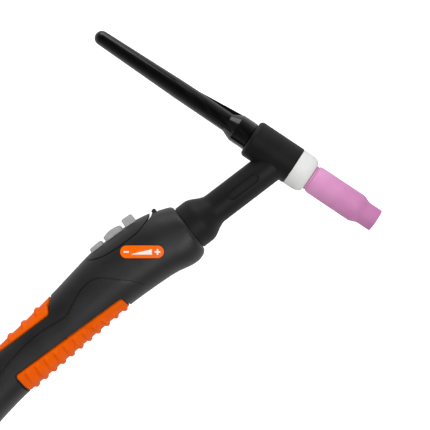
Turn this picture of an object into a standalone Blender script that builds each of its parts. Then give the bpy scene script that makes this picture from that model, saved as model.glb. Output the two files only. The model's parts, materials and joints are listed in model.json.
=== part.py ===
"""A water-cooled TIG welding torch: size 18 head, long back cap, handle with three buttons.

The drawing frame has its origin where the neck's axis leaves the handle. X runs along the
neck towards the head, Y across the handle towards its buttons, and Z out of the torch's
right side. The head has a frame of its own, with +Z along the cup. The whole torch hangs
on one empty that lays it down on its left side, with +Z up. Sizes are in millimetres, and
MM turns them into metres where a mesh or a place is made.
"""

import math

import bmesh
import bpy
from mathutils import Matrix, Vector

MM = 0.001
GAP = 0.3
PAST = 30.0  # where a cutting tool ends that runs right past the piece it cuts

# Places of the frames
REST_SHIFT = (48.0, -30.6, 17.52)
HEAD_X = 70.9
HEAD_ANGLE = math.radians(-71.1)

# Neck, along X, with an oval recess on each side
COLLAR_RADIUS = 14.6
COLLAR_START = -14.0
COLLAR_END = 7.1
COLLAR_CHAMFER = 0.8
FLARE_END = 20.6
NECK_RADIUS = 9.75
NECK_RECESS_X = (33.1, 49.9)
NECK_RECESS_Y = -0.1
NECK_RECESS_RADIUS = 2.8
NECK_RECESS_DEPTH = 0.7

# Head, along the cup's axis, from where it meets the neck's axis
BARREL_RADIUS = 12.1
BARREL_BACK = -22.5
BARREL_BACK_ROUND = 2.5
BARREL_FRONT = 9.15
BARREL_FRONT_CHAMFER = 0.4
CORE_RADIUS = 9.0
CORE_BORE = 6.3
CORE_BACK = -20.5
CORE_FRONT = 12.0
GASKET_RADIUS = 12.0
GASKET_FRONT = 21.1
GASKET_ROUND = (3.0, 6.0)
CUP_BACK = 21.4
CUP_LENGTH = 47.8
CUP_BACK_BORE = 6.25
CUP_NECK_RADIUS = 8.55
CUP_NECK_LENGTH = 3.1
CUP_BODY_RADIUS = 9.1
CUP_BODY_LENGTH = 32.8
CUP_SHOULDER_LENGTH = 6.8
CUP_TIP_RADIUS = 7.25
CUP_TIP_ROUND = 0.7
CUP_MOUTH_RADIUS = 5.55
COLLET_BODY_BACK = -1.0
COLLET_BODY_RADIUS = 5.9
COLLET_BODY_THREAD_END = 33.5
COLLET_BODY_STEM_RADIUS = 4.6
COLLET_BODY_FRONT = 52.0
GAS_PORT_RADIUS = 0.9
GAS_PORT_PLACE = 41.0
COLLET_BACK = -15.0
COLLET_HEAD_RADIUS = 3.4
COLLET_RADIUS = 2.6
COLLET_BORE = 1.5
COLLET_FRONT = 47.8
ELECTRODE_RADIUS = 1.2
ELECTRODE_TIP = 66.0
ELECTRODE_POINT_LENGTH = 5.0
ELECTRODE_BACK = -109.0

# Back cap, on the same axis, from its face against the barrel to its tip
CAP_FACE = -22.9
CAP_TIP = -136.0
CAP_RADIUS = 9.0
CAP_BASE_LENGTH = 10.6
CAP_CONE_LENGTH = 6.7
CAP_ROD_RADII = (6.15, 5.9, 4.6)
CAP_NOSE_RADIUS = 5.9
CAP_NOSE_FRONT = -8.5
CAP_NOSE_BORE = 3.9
CAP_BORE = 2.0
CAP_FINS = (-90, 30, 150)
CAP_FIN_WIDTH = 1.8
CAP_FIN_LENGTH = 41.0
CAP_FIN_RADII = (8.3, 5.0)
O_RING_PLACE = -21.55
O_RING_RADIUS = 7.3
O_RING_THICKNESS = 1.5

# Handle, as points along X with the height, depth or width there
HANDLE_TOP = (
    (-190, 2.6), (-160, 9.3), (-135, 13.4), (-110, 16.3), (-90, 19.1), (-70, 22.4),
    (-57, 24.4), (-46, 24.6), (-34, 24.5), (-24, 24.0), (-14, 22.1), (-6, 19.2), (0, 16.9),
)
HANDLE_BELLY = (
    (-190, -29.8), (-163, -23.9), (-148, -21.3), (-135, -19.8), (-100, -17.6), (-75, -16.2),
    (-55, -15.4), (-34, -16.0), (-22, -16.9), (-12, -19.0), (-7, -19.3), (-3, -18.3), (0, -16.2),
)
HANDLE_HALF_WIDTH = (
    (-190, 17.5), (-176, 17.3), (-155, 16.3), (-130, 15.7), (-100, 15.8), (-75, 16.7),
    (-50, 17.5), (-24, 17.5), (-10, 17.0), (0, 16.1),
)
HANDLE_SQUARENESS = ((-190, 2.1), (-150, 2.35), (-60, 2.45), (-12, 2.35), (0, 2.1))
HANDLE_WALL = (
    (-190, 2.7), (-146, 2.7), (-139, 4.3), (-57, 4.3), (-50, 2.5), (-17, 2.5), (-12, 3.6), (0, 3.6),
)
HANDLE_STATIONS = (
    -190, -179, -167, -154, -141, -134, -120, -106, -92, -80, -70, -62, -56, -48, -37,
    -27, -20, -14, -10, -6.5, -3.5, -1.3, 0,
)
HALF_RING = 15
RING_STEP = 180 / HALF_RING
SPLIT = 0.15
NOSE_BORE = 14.95
NOSE_BORE_END = -14.6

# Soft grips
GRIP_DEPTH = 2.0
LOWER_GRIP = ((-57.2, -32.0), (-57.2, -9.9), (-136.3, -7.5), (-136.3, -32.0))
LOWER_RIB_FIRST = -60.6
LOWER_RIB_PITCH = 7.05
LOWER_RIB_COUNT = 11
LOWER_RIB_HEIGHT = 1.3
UPPER_GRIP = ((-92.8, 30.0), (-96.5, 15.6), (-99.2, 11.3), (-150.0, 11.3), (-150.0, 30.0))
UPPER_RIB_FIRST = -104.0
UPPER_RIB_PITCH = 11.1
UPPER_RIB_COUNT = 4
UPPER_RIB_HEIGHT = 0.8
GRIP_CORNER = 2.2

# Side badge
BADGE_CENTRE = (-31.0, 5.9)
BADGE_LENGTH = 26.8
BADGE_WIDTH = 8.1
BADGE_ANGLE = math.radians(-37.4)
BADGE_RISE = 0.15
BADGE_RECESS = 0.9

# Switch module: its parting line with the shells, from the rear to the front
MODULE_LINE = (
    (-62.3, 23.8), (-58.0, 20.9), (-52.6, 18.7), (-47.0, 17.6), (-41.1, 17.0), (-28.9, 17.0),
    (-23.5, 17.7), (-18.9, 19.2), (-15.7, 22.0),
)
MODULE_WALL = 1.8
BUTTON_HALF_WIDTH = 6.0
BUTTON_TRAVEL = 0.8
BUTTON_BASE = 19.6
BUTTON_LIP = (0.2, 1.3)
BUTTON_LIP_REACH = 0.7
BUTTON_WELL = (-58.5, -45.0)
BUTTONS = {
    "front_button": ((-30.0, 23.0), (-30.0, 28.2), (-29.2, 29.0), (-22.8, 28.6), (-22.8, 23.0)),
    "middle_button": (
        (-44.7, 23.0), (-44.7, 27.2), (-41.6, 28.0), (-38.4, 28.3), (-35.3, 28.0), (-32.2, 27.2),
        (-32.2, 23.0),
    ),
    "rear_button": ((-55.8, 23.0), (-55.8, 25.6), (-54.8, 26.7), (-47.0, 26.9), (-47.0, 23.0)),
}
BOARD_TOP = 13.2
BOARD_THICKNESS = 1.6
SWITCH_TOP = 16.6
SWITCH_HALF = 3.0
PLUNGER_RADIUS = 1.7
PLUNGER_TOP = 17.4
STEM_RADIUS = 1.4

# Latch in front of the module
LATCH_BACK = -11.6
LATCH_FRONT = -9.3
LATCH_TOP = 22.5
LATCH_ROOT = 16.6
LATCH_HALF_WIDTH = 4.0
LATCH_SLOT = 0.8

# Screws: places on the split plane, and sizes
SCREW_PLACES = ((-32.0, -10.3), (-66.5, 13.6), (-118.0, -5.0), (-166.0, -0.5))
SCREW_HEAD_RADIUS = 2.2
SCREW_SHANK_RADIUS = 1.2
SCREW_SEAT = -6.4
SCREW_END = 6.0
SCREW_HEAD_HEIGHT = 1.9
SOCKET_RADIUS = 1.15
SOCKET_DEPTH = 1.2
BOSS_RADIUS = 3.6

# Tubes in the neck: height and side of each axis, and outer radius; then the fittings behind them
TUBES = {"gas_tube": (5.2, 4.6, 2.4), "water_tube": (5.2, -4.6, 2.4), "power_tube": (-2.4, 0.0, 4.0)}
TUBE_WALL = 0.9
TUBE_BACK_X = -38.0
TUBE_FRONT_X = 58.0
NIPPLE_BORE = 1.3
NIPPLE_RADIUS = 3.0
NIPPLE_COLLAR = 5.0
BARB_ROOT = 2.3
BARB_PITCH = 3.5
BARB_COUNT = 3
ADAPTER_BORE = 2.6
ADAPTER_RADII = (5.4, 4.6, 4.0)
ADAPTER_NUT = 14.0
ADAPTER_LENGTH = 27.8

# Ring in the rear end of the handle
COLLAR_RING_BACK = -196.0
COLLAR_RING_FRONT = -184.0
COLLAR_RING_RADIUS = 15.6
COLLAR_SPIGOT_RADIUS = 11.8
COLLAR_RING_BORE = 9.6
COLLAR_RING_Y = -13.6


def finish(name, colour, roughness, metallic=0.0):
    """A Principled material."""
    made = bpy.data.materials.new(name)
    made.use_nodes = True
    shader = made.node_tree.nodes["Principled BSDF"]
    shader.inputs["Base Color"].default_value = (*colour, 1)
    shader.inputs["Roughness"].default_value = roughness
    shader.inputs["Metallic"].default_value = metallic
    return made


def empty(name, matrix, parent=None):
    """An empty that holds a frame."""
    made = bpy.data.objects.new(name, None)
    bpy.context.scene.collection.objects.link(made)
    made.parent = parent
    made.matrix_basis = matrix
    return made


def place(name, bm, parent, material, at=(0, 0, 0)):
    """The object of a mesh drawn about its own origin, which goes to `at` in its parent's frame."""
    bmesh.ops.remove_doubles(bm, verts=bm.verts, dist=0.001 * MM)
    bmesh.ops.recalc_face_normals(bm, faces=bm.faces)
    mesh = bpy.data.meshes.new(name)
    bm.to_mesh(mesh)
    bm.free()
    mesh.shade_smooth()
    mesh.set_sharp_from_angle(angle=math.radians(35))
    made = bpy.data.objects.new(name, mesh)
    bpy.context.scene.collection.objects.link(made)
    made.parent = parent
    made.location = Vector(at) * MM
    if material:
        made.data.materials.append(material)
    return made


def guide(piece):
    """Leaves a tool for Booleans out of the model."""
    piece.hide_render = True
    piece.display_type = "WIRE"
    return piece


def boolean(piece, operation, tool):
    """A Boolean of a piece with a guide."""
    modifier = piece.modifiers.new(tool.name, "BOOLEAN")
    modifier.operation = operation
    modifier.object = tool


def turned(name, profile, parent, material=None, steps=28, at=(0, 0, 0), axis="Z"):
    """A solid turned about an axis from (radius, along) points in order round its section."""
    bm = bmesh.new()
    verts = [bm.verts.new((radius * MM, 0, along * MM)) for radius, along in profile]
    ends_on_axis = profile[0][0] == 0 and profile[-1][0] == 0
    following = verts[1:] if ends_on_axis else verts[1:] + verts[:1]
    edges = [bm.edges.new(pair) for pair in zip(verts, following)]
    bmesh.ops.spin(
        bm, geom=verts + edges, cent=(0, 0, 0), axis=(0, 0, 1), angle=math.tau, steps=steps,
        use_merge=True,
    )
    if axis == "X":
        bmesh.ops.rotate(bm, verts=bm.verts, matrix=Matrix.Rotation(math.pi / 2, 3, "Y"))
    return place(name, bm, parent, material, at)


def rod(name, radius, low, high, parent, steps=28, at=(0, 0, 0), axis="Z"):
    """A plain round rod, for use as a guide."""
    section = ((0, low), (radius, low), (radius, high), (0, high))
    return guide(turned(name, section, parent, None, steps, at, axis))


def s_curve(start, end, steps):
    """Points of an S-shaped fall from one (radius, along) point to another, after the first."""
    made = []
    for i in range(1, steps + 1):
        fall = (1 - math.cos(math.pi * i / steps)) / 2
        along = start[1] + (end[1] - start[1]) * i / steps
        made.append((start[0] + (end[0] - start[0]) * fall, along))
    return made


def lofted(name, rings, parent, material=None, at=(0, 0, 0)):
    """A closed solid through rings of equally many points, with flat ends."""
    bm = bmesh.new()
    loops = [[bm.verts.new(Vector(point) * MM) for point in ring] for ring in rings]
    for near, far in zip(loops, loops[1:]):
        for i in range(len(near)):
            j = (i + 1) % len(near)
            bm.faces.new((near[i], near[j], far[j], far[i]))
    bm.faces.new(loops[0])
    bm.faces.new(loops[-1])
    return place(name, bm, parent, material, at)


def prism(name, outline, low, high, parent, material=None, at=(0, 0, 0)):
    """A solid with the same outline in X and Y from one Z to another."""
    rings = [[(x, y, z) for x, y in outline] for z in (low, high)]
    return lofted(name, rings, parent, material, at)


def box(name, low, high, parent, material=None, at=(0, 0, 0)):
    """A block between two corners."""
    outline = ((low[0], low[1]), (high[0], low[1]), (high[0], high[1]), (low[0], high[1]))
    return prism(name, outline, low[2], high[2], parent, material, at)


def arc(centre, radius, start, end, steps):
    """Points of an arc, from one angle in degrees to another."""
    turns = [math.radians(start + (end - start) * i / steps) for i in range(steps + 1)]
    return [(centre[0] + radius * math.cos(t), centre[1] + radius * math.sin(t)) for t in turns]


def at_along(points, x):
    """Height of the straight lines through points, at x."""
    for (x0, y0), (x1, y1) in zip(points, points[1:]):
        if x <= x1:
            return y0 + (y1 - y0) * (x - x0) / (x1 - x0)
    return points[-1][1]


def smooth_along(points, x):
    """Height at x of a smooth curve through points given in order of x."""
    count = len(points)
    slopes = []
    for i in range(count):
        x0, y0 = points[max(i - 1, 0)]
        x1, y1 = points[min(i + 1, count - 1)]
        slopes.append((y1 - y0) / (x1 - x0))
    i = 0
    while i < count - 2 and x > points[i + 1][0]:
        i += 1
    (x0, y0), (x1, y1) = points[i], points[i + 1]
    step = x1 - x0
    t = (x - x0) / step
    return (
        y0 * (1 + 2 * t) * (1 - t) ** 2 + slopes[i] * step * t * (1 - t) ** 2
        + y1 * t * t * (3 - 2 * t) + slopes[i + 1] * step * t * t * (t - 1)
    )


def skin_point(x, turn, depth):
    """Point of the handle's skin, `depth` under its surface; turn 0 is the top and 90 the right."""
    top = smooth_along(HANDLE_TOP, x) - depth
    belly = smooth_along(HANDLE_BELLY, x) + depth
    half_width = smooth_along(HANDLE_HALF_WIDTH, x) - depth
    power = 2 / at_along(HANDLE_SQUARENESS, x)
    up = math.cos(math.radians(turn))
    out = math.sin(math.radians(turn))
    y = (top + belly) / 2 + (top - belly) / 2 * math.copysign(abs(up) ** power, up)
    return (x, y, half_width * math.copysign(abs(out) ** power, out))


def skin_solid(name, depth, stations=HANDLE_STATIONS):
    """A guide in the shape of the handle's whole body, as deep under its skin as asked."""
    rings = [[skin_point(x, RING_STEP * i, depth) for i in range(2 * HALF_RING)] for x in stations]
    return guide(lofted(name, rings, torch))


def skin_piece(name, depth, material, stations=HANDLE_STATIONS):
    """A piece of the model in the shape of the handle's body, to be cut down with Booleans."""
    piece = skin_solid(name, depth, stations)
    piece.hide_render = False
    piece.display_type = "TEXTURED"
    piece.data.materials.append(material)
    return piece


def widened(outline, margin):
    """A convex outline moved outwards by a margin."""
    middle_x = sum(x for x, _ in outline) / len(outline)
    middle_y = sum(y for _, y in outline) / len(outline)
    moved = []
    count = len(outline)
    for i, (x, y) in enumerate(outline):
        before = Vector((x - outline[i - 1][0], y - outline[i - 1][1])).normalized()
        after_point = outline[(i + 1) % count]
        after = Vector((after_point[0] - x, after_point[1] - y)).normalized()
        normal = Vector((before.y + after.y, -before.x - after.x)).normalized()
        if normal.dot(Vector((x - middle_x, y - middle_y))) < 0:
            normal.negate()
        stretch = margin / max(0.3, abs(normal.dot(Vector((before.y, -before.x)))))
        moved.append((x + normal.x * stretch, y + normal.y * stretch))
    return moved


def rounded(outline, radius, steps=3):
    """An outline with its corners cut round, each by an arc."""
    made = []
    count = len(outline)
    for i, corner in enumerate(outline):
        corner = Vector(corner)
        before = (Vector(outline[i - 1]) - corner).normalized()
        after = (Vector(outline[(i + 1) % count]) - corner).normalized()
        reach = radius / math.tan(before.angle(after) / 2)
        for k in range(steps + 1):
            t = k / steps
            near = corner + before * reach * (1 - t)
            far = corner + after * reach * t
            made.append(tuple(near * (1 - t) + far * t))
    return made


# ---------------------------------------------------------------- frames and finishes

for old in list(bpy.data.objects):
    bpy.data.objects.remove(old, do_unlink=True)

torch = empty("torch_frame", Matrix.Translation(Vector(REST_SHIFT) * MM))
cup_way = Vector((math.cos(HEAD_ANGLE), math.sin(HEAD_ANGLE), 0))
head_side = Vector((0, 0, 1))
head_matrix = Matrix((head_side, cup_way.cross(head_side), cup_way)).transposed().to_4x4()
head_matrix.translation = Vector((HEAD_X * MM, 0, 0))
head = empty("head_frame", head_matrix, torch)

black_rubber = finish("black_rubber_moulding", (0.016, 0.016, 0.017), 0.55)
black_gloss = finish("black_glossy_phenolic", (0.008, 0.008, 0.009), 0.18)
black_nylon = finish("black_glass_filled_nylon", (0.028, 0.028, 0.029), 0.5)
orange_soft = finish("orange_soft_elastomer", (0.89, 0.105, 0.004), 0.55)
orange_print = finish("orange_badge", (1.0, 0.13, 0.0), 0.3)
grey_button = finish("light_grey_button", (0.52, 0.52, 0.52), 0.4)
pink_alumina = finish("pink_alumina", (0.62, 0.24, 0.48), 0.42)
white_ptfe = finish("white_ptfe", (0.8, 0.8, 0.8), 0.45)
brass = finish("brass", (0.72, 0.5, 0.2), 0.3, 1.0)
copper = finish("copper", (0.8, 0.36, 0.2), 0.32, 1.0)
tungsten = finish("tungsten", (0.5, 0.5, 0.52), 0.35, 1.0)
steel = finish("zinc_plated_steel", (0.6, 0.6, 0.6), 0.3, 1.0)
green_board = finish("green_circuit_board", (0.02, 0.16, 0.05), 0.4)
black_seal = finish("black_nitrile", (0.01, 0.01, 0.01), 0.4)


# ---------------------------------------------------------------- neck, head and tubes

def neck_profile():
    """Section of the neck, collar and flare, as (radius, x); the neck ends inside the barrel."""
    points = [(0, COLLAR_START), (COLLAR_RADIUS - COLLAR_CHAMFER, COLLAR_START)]
    points += [(COLLAR_RADIUS, COLLAR_START + COLLAR_CHAMFER), (COLLAR_RADIUS, COLLAR_END)]
    points += s_curve((COLLAR_RADIUS, COLLAR_END), (NECK_RADIUS, FLARE_END), 6)
    return points + [(NECK_RADIUS, HEAD_X), (0, HEAD_X)]


def barrel_profile():
    """Section of the barrel round the head's core, as (radius, along)."""
    corner = (BARREL_RADIUS - BARREL_BACK_ROUND + 0.2, BARREL_BACK + BARREL_BACK_ROUND)
    points = [(0, BARREL_BACK)] + arc(corner, BARREL_BACK_ROUND, -90, 0, 3)
    points += [(BARREL_RADIUS, BARREL_FRONT - BARREL_FRONT_CHAMFER)]
    return points + [(BARREL_RADIUS - BARREL_FRONT_CHAMFER, BARREL_FRONT), (0, BARREL_FRONT)]


def make_body():
    """Moulding of the neck and the barrel, bored for the core and the three tubes."""
    body = turned("torch_body_moulding", neck_profile(), torch, black_rubber, axis="X")
    boolean(body, "UNION", guide(turned("barrel_tool", barrel_profile(), head)))
    boolean(body, "DIFFERENCE", rod("core_bore_tool", CORE_RADIUS + GAP, -PAST, 20, head))
    for name, (y, z, radius) in TUBES.items():
        tool = rod(
            name + "_bore_tool", radius + GAP, COLLAR_START - 5, TUBE_FRONT_X + GAP, torch, steps=16,
            at=(0, y, z), axis="X",
        )
        boolean(body, "DIFFERENCE", tool)
    outline = arc((NECK_RECESS_X[1], NECK_RECESS_Y), NECK_RECESS_RADIUS, -90, 90, 5)
    outline += arc((NECK_RECESS_X[0], NECK_RECESS_Y), NECK_RECESS_RADIUS, 90, 270, 5)
    for side in (-1, 1):
        low, high = sorted((side * (NECK_RADIUS - NECK_RECESS_DEPTH), side * (NECK_RADIUS + 3)))
        tool = guide(prism(f"neck_recess_tool_{side}", outline, low, high, torch))
        boolean(body, "DIFFERENCE", tool)


def make_tubes():
    """Gas, water and power tubes, with the fittings on their rear ends."""
    for name, (y, z, radius) in TUBES.items():
        inner = radius - TUBE_WALL
        section = (
            (inner, TUBE_BACK_X), (radius, TUBE_BACK_X), (radius, TUBE_FRONT_X), (inner, TUBE_FRONT_X),
        )
        turned(name, section, torch, copper, steps=14, at=(0, y, z), axis="X")
    start = TUBE_BACK_X - GAP
    barbs_start = start - NIPPLE_COLLAR
    barbs_end = barbs_start - BARB_PITCH * BARB_COUNT
    for name in ("gas", "water"):
        y, z, _ = TUBES[name + "_tube"]
        section = [(NIPPLE_BORE, start), (NIPPLE_RADIUS, start), (NIPPLE_RADIUS, barbs_start)]
        for barb in range(BARB_COUNT):
            barb_start = barbs_start - BARB_PITCH * barb
            section += [(BARB_ROOT, barb_start), (NIPPLE_RADIUS, barb_start - 0.4)]
            section += [(BARB_ROOT, barb_start - BARB_PITCH)]
        section += [(NIPPLE_BORE, barbs_end)]
        turned(name + "_nipple", section, torch, brass, steps=12, at=(0, y, z), axis="X")
    y, z, _ = TUBES["power_tube"]
    nut, shank, end = ADAPTER_RADII
    section = (
        (ADAPTER_BORE, start), (nut, start), (nut, start - ADAPTER_NUT), (shank, start - ADAPTER_NUT - 0.6),
        (shank, start - ADAPTER_LENGTH + 0.8), (end, start - ADAPTER_LENGTH),
        (ADAPTER_BORE, start - ADAPTER_LENGTH),
    )
    turned("power_adapter", section, torch, brass, steps=12, at=(0, y, z), axis="X")


def make_head():
    """Core, consumables and back cap, all on the head's axis."""
    section = (
        (CORE_BORE, CORE_BACK), (CORE_RADIUS, CORE_BACK), (CORE_RADIUS, CORE_FRONT),
        (CORE_BORE, CORE_FRONT),
    )
    turned("head_core", section, head, brass)
    inwards, along = GASKET_ROUND
    back = BARREL_FRONT + GAP
    seat = CORE_FRONT + GAP
    section = [(CORE_RADIUS + GAP, back), (GASKET_RADIUS, back)]
    for share in (0, 0.5, 0.8, 0.95, 1):
        fall = inwards * (1 - math.sqrt(1 - share * share))
        section.append((GASKET_RADIUS - fall, GASKET_FRONT - along * (1 - share)))
    section += [(CORE_BORE, GASKET_FRONT), (CORE_BORE, seat), (CORE_RADIUS + GAP, seat)]
    turned("cup_gasket", section, head, white_ptfe)
    make_cup()
    make_collets()
    make_cap()


def make_cup():
    """Alumina cup: a short neck at the back, a long body, a shoulder and a thin tip."""
    tip = CUP_BACK + CUP_LENGTH
    body_end = CUP_BACK + CUP_BODY_LENGTH
    neck_end = CUP_BACK + CUP_NECK_LENGTH
    section = [(CUP_BACK_BORE, CUP_BACK), (CUP_NECK_RADIUS - 0.35, CUP_BACK)]
    section += [(CUP_NECK_RADIUS, CUP_BACK + 0.4), (CUP_NECK_RADIUS, neck_end)]
    section += [(CUP_BODY_RADIUS, neck_end + 0.5), (CUP_BODY_RADIUS, body_end)]
    section += s_curve((CUP_BODY_RADIUS, body_end), (CUP_TIP_RADIUS, body_end + CUP_SHOULDER_LENGTH), 4)
    section += [(CUP_TIP_RADIUS, tip - CUP_TIP_ROUND), (CUP_TIP_RADIUS - 0.2, tip - 0.2)]
    section += [(CUP_TIP_RADIUS - CUP_TIP_ROUND, tip), (CUP_MOUTH_RADIUS, tip)]
    section += [(CUP_MOUTH_RADIUS, CUP_BACK + 36), (CUP_BACK_BORE, CUP_BACK + 28)]
    turned("ceramic_cup", section, head, pink_alumina)


def make_collets():
    """Collet body with its four gas ports, collet and electrode."""
    bore = COLLET_RADIUS + GAP
    mouth = ELECTRODE_RADIUS + 0.4
    stem_end = COLLET_BODY_FRONT - 3
    section = (
        (bore, COLLET_BODY_BACK), (COLLET_BODY_RADIUS, COLLET_BODY_BACK),
        (COLLET_BODY_RADIUS, COLLET_BODY_THREAD_END), (COLLET_BODY_STEM_RADIUS, COLLET_BODY_THREAD_END + 1),
        (COLLET_BODY_STEM_RADIUS, stem_end), (3.2, COLLET_BODY_FRONT), (mouth, COLLET_BODY_FRONT),
        (mouth, stem_end + 0.5), (bore, stem_end - 0.7),
    )
    body = turned("collet_body", section, head, copper, steps=24)
    reach = COLLET_BODY_RADIUS + 2
    for i in range(2):
        tool = rod(
            f"gas_port_tool_{i}", GAS_PORT_RADIUS, -reach, reach, head, steps=8,
            at=(0, 0, GAS_PORT_PLACE), axis="X",
        )
        tool.rotation_euler.z = i * math.pi / 2
        boolean(body, "DIFFERENCE", tool)
    section = (
        (COLLET_BORE, COLLET_BACK), (COLLET_HEAD_RADIUS, COLLET_BACK),
        (COLLET_HEAD_RADIUS, COLLET_BACK + 2.5), (COLLET_RADIUS, COLLET_BACK + 4.5),
        (COLLET_RADIUS, COLLET_FRONT - 1.8), (2.0, COLLET_FRONT), (COLLET_BORE, COLLET_FRONT),
    )
    turned("collet", section, head, copper, steps=20)
    section = (
        (0, ELECTRODE_BACK), (ELECTRODE_RADIUS, ELECTRODE_BACK),
        (ELECTRODE_RADIUS, ELECTRODE_TIP - ELECTRODE_POINT_LENGTH), (0, ELECTRODE_TIP),
    )
    turned("tungsten_electrode", section, head, tungsten, steps=14)


def make_cap():
    """Long back cap: a threaded nose, a round base, three fins and a tapered rod; and its seal."""
    base_back = CAP_FACE - CAP_BASE_LENGTH
    cone_back = base_back - CAP_CONE_LENGTH
    fin_back = base_back - CAP_FIN_LENGTH
    cone_rod, fin_rod, end_rod = CAP_ROD_RADII
    rod_end = CAP_TIP + end_rod
    plain = [(0, CAP_TIP), (end_rod / 2, CAP_TIP + 0.65), (4.0, rod_end - 2.3), (end_rod, rod_end)]
    plain += [(fin_rod, fin_back), (cone_rod, cone_back), (CAP_RADIUS - 0.3, base_back)]
    plain += [(CAP_RADIUS, CAP_FACE - 0.5), (CAP_RADIUS - 0.5, CAP_FACE), (CAP_NOSE_RADIUS, CAP_FACE)]
    plain += [(CAP_NOSE_RADIUS, CAP_NOSE_FRONT), (CAP_NOSE_BORE, CAP_NOSE_FRONT)]
    plain += [(CAP_NOSE_BORE, COLLET_BACK - 2), (CAP_BORE, COLLET_BACK - 2)]
    plain += [(CAP_BORE, ELECTRODE_BACK - 9), (0, ELECTRODE_BACK - 11)]
    cap = turned("back_cap", plain, head, black_gloss)
    root = CAP_NOSE_BORE + 0.1
    high, low = CAP_FIN_RADII
    outline = (
        (root, base_back + 4), (CAP_RADIUS - 0.6, base_back + 4), (high, base_back), (low, fin_back),
        (root, fin_back),
    )
    for i, turn in enumerate(CAP_FINS):
        rings = [[(r, side * CAP_FIN_WIDTH / 2, a) for r, a in outline] for side in (-1, 1)]
        fin = guide(lofted(f"fin_tool_{i}", rings, head))
        fin.rotation_euler.z = math.radians(turn)
        boolean(cap, "UNION", fin)
    ring = arc((O_RING_RADIUS, O_RING_PLACE), O_RING_THICKNESS / 2, 0, 300, 5)
    turned("back_cap_o_ring", ring, head, black_seal, steps=20)


# ---------------------------------------------------------------- handle

def grip_outline(corners, margin=0.0):
    """A grip's outline from the side, with its corners cut round."""
    return rounded(widened(corners, margin) if margin else corners, GRIP_CORNER)


def module_outline(below=0.0, behind=0.0, ahead=0.0):
    """The module seen from the side, grown past its parting line."""
    rear_x, front_x = MODULE_LINE[0][0], MODULE_LINE[-1][0]
    line = []
    for x, y in MODULE_LINE:
        rear_share = max(0.0, (-45 - x) / 17)
        front_share = min(1.0, max(0.0, (x + 23) / 4))
        line.append((x - behind * rear_share + ahead * front_share, y - below))
    return line + [(front_x + ahead + 1, PAST + 4), (rear_x - behind - 1, PAST + 4)]


def badge_outline(margin=0.0):
    """The badge's round-ended outline from the side."""
    reach = (BADGE_LENGTH - BADGE_WIDTH) / 2
    radius = BADGE_WIDTH / 2 + margin
    ends = arc((reach, 0), radius, -90, 90, 7) + arc((-reach, 0), radius, 90, 270, 7)
    cos, sin = math.cos(BADGE_ANGLE), math.sin(BADGE_ANGLE)
    middle_x, middle_y = BADGE_CENTRE
    return [(middle_x + x * cos - y * sin, middle_y + x * sin + y * cos) for x, y in ends]


def screw_set(name, radius, low, high):
    """One guide with a cylinder at each screw."""
    bm = bmesh.new()
    for x, y in SCREW_PLACES:
        made = bmesh.ops.create_cone(
            bm, cap_ends=True, segments=12, radius1=radius * MM, radius2=radius * MM,
            depth=(high - low) * MM,
        )
        middle = Vector((x, y, (low + high) / 2)) * MM
        bmesh.ops.translate(bm, verts=made["verts"], vec=middle)
    return guide(place(name, bm, torch, None))


def shell_half(name, side):
    """One half of the handle's hollow body, up to the split plane."""
    rings = []
    for x in HANDLE_STATIONS:
        wall = at_along(HANDLE_WALL, x)
        outer = [skin_point(x, RING_STEP * i, 0) for i in range(HALF_RING + 1)]
        inner = [skin_point(x, RING_STEP * i, wall) for i in range(HALF_RING + 1)]
        rings.append([(px, py, side * max(pz, SPLIT)) for px, py, pz in outer + inner[::-1]])
    return lofted(name, rings, torch, black_nylon)


def cut_to_skin(name, outline, low, floor):
    """A guide for a recess: an outline drawn through the handle, down to a floor under its skin."""
    tool = guide(prism(name, outline, low, PAST, torch))
    boolean(tool, "DIFFERENCE", floor)
    return tool


def make_shells():
    """The two halves of the handle, with their bosses, recesses and openings."""
    boss_limit = skin_solid("boss_limit_tool", 1.2)
    recess_floor = skin_solid("recess_floor_tool", GRIP_DEPTH + GAP)
    badge_floor = skin_solid("badge_floor_tool", BADGE_RECESS)
    nose_bore = rod("nose_bore_tool", NOSE_BORE, NOSE_BORE_END, 5, torch, axis="X")
    module_cut = guide(prism("module_cut_tool", module_outline(GAP, 0.4, 1.4), -PAST, PAST, torch))
    well_half_width = BUTTON_HALF_WIDTH + GAP
    well_cut = guide(box(
        "button_well_tool", (BUTTON_WELL[0], BOARD_TOP, -well_half_width),
        (BUTTON_WELL[1], 24, well_half_width), torch,
    ))
    latch_cut = guide(box(
        "latch_cut_tool", (LATCH_BACK - LATCH_SLOT, LATCH_ROOT - LATCH_SLOT, -LATCH_HALF_WIDTH - GAP),
        (LATCH_FRONT + LATCH_SLOT, PAST, LATCH_HALF_WIDTH + GAP), torch,
    ))
    lower_cut = cut_to_skin("lower_cut_tool", grip_outline(LOWER_GRIP, GAP), -PAST, recess_floor)
    upper_cut = cut_to_skin("upper_cut_tool", grip_outline(UPPER_GRIP, GAP), -PAST, recess_floor)
    badge_cut = cut_to_skin("badge_cut_tool", badge_outline(GAP), 5, badge_floor)
    shank_holes = screw_set("shank_hole_tool", SCREW_SHANK_RADIUS + GAP, -PAST, SCREW_END + 1)
    head_holes = screw_set("head_hole_tool", SCREW_HEAD_RADIUS + 0.4, -PAST, SCREW_SEAT)
    for side, name in ((1, "handle_shell_right"), (-1, "handle_shell_left")):
        shell = shell_half(name, side)
        low, high = sorted((side * SPLIT, side * PAST))
        bosses = screw_set(name + "_boss_tool", BOSS_RADIUS, low, high)
        boolean(bosses, "INTERSECT", boss_limit)
        boolean(shell, "UNION", bosses)
        for tool in (nose_bore, module_cut, well_cut, latch_cut, lower_cut, upper_cut, shank_holes):
            boolean(shell, "DIFFERENCE", tool)
        boolean(shell, "DIFFERENCE", badge_cut if side > 0 else head_holes)


def rib_stations(first, pitch, count, offsets):
    """Places along X of the points of each rib."""
    return [first - pitch * i + offset for i in range(count) for offset in offsets]


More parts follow.
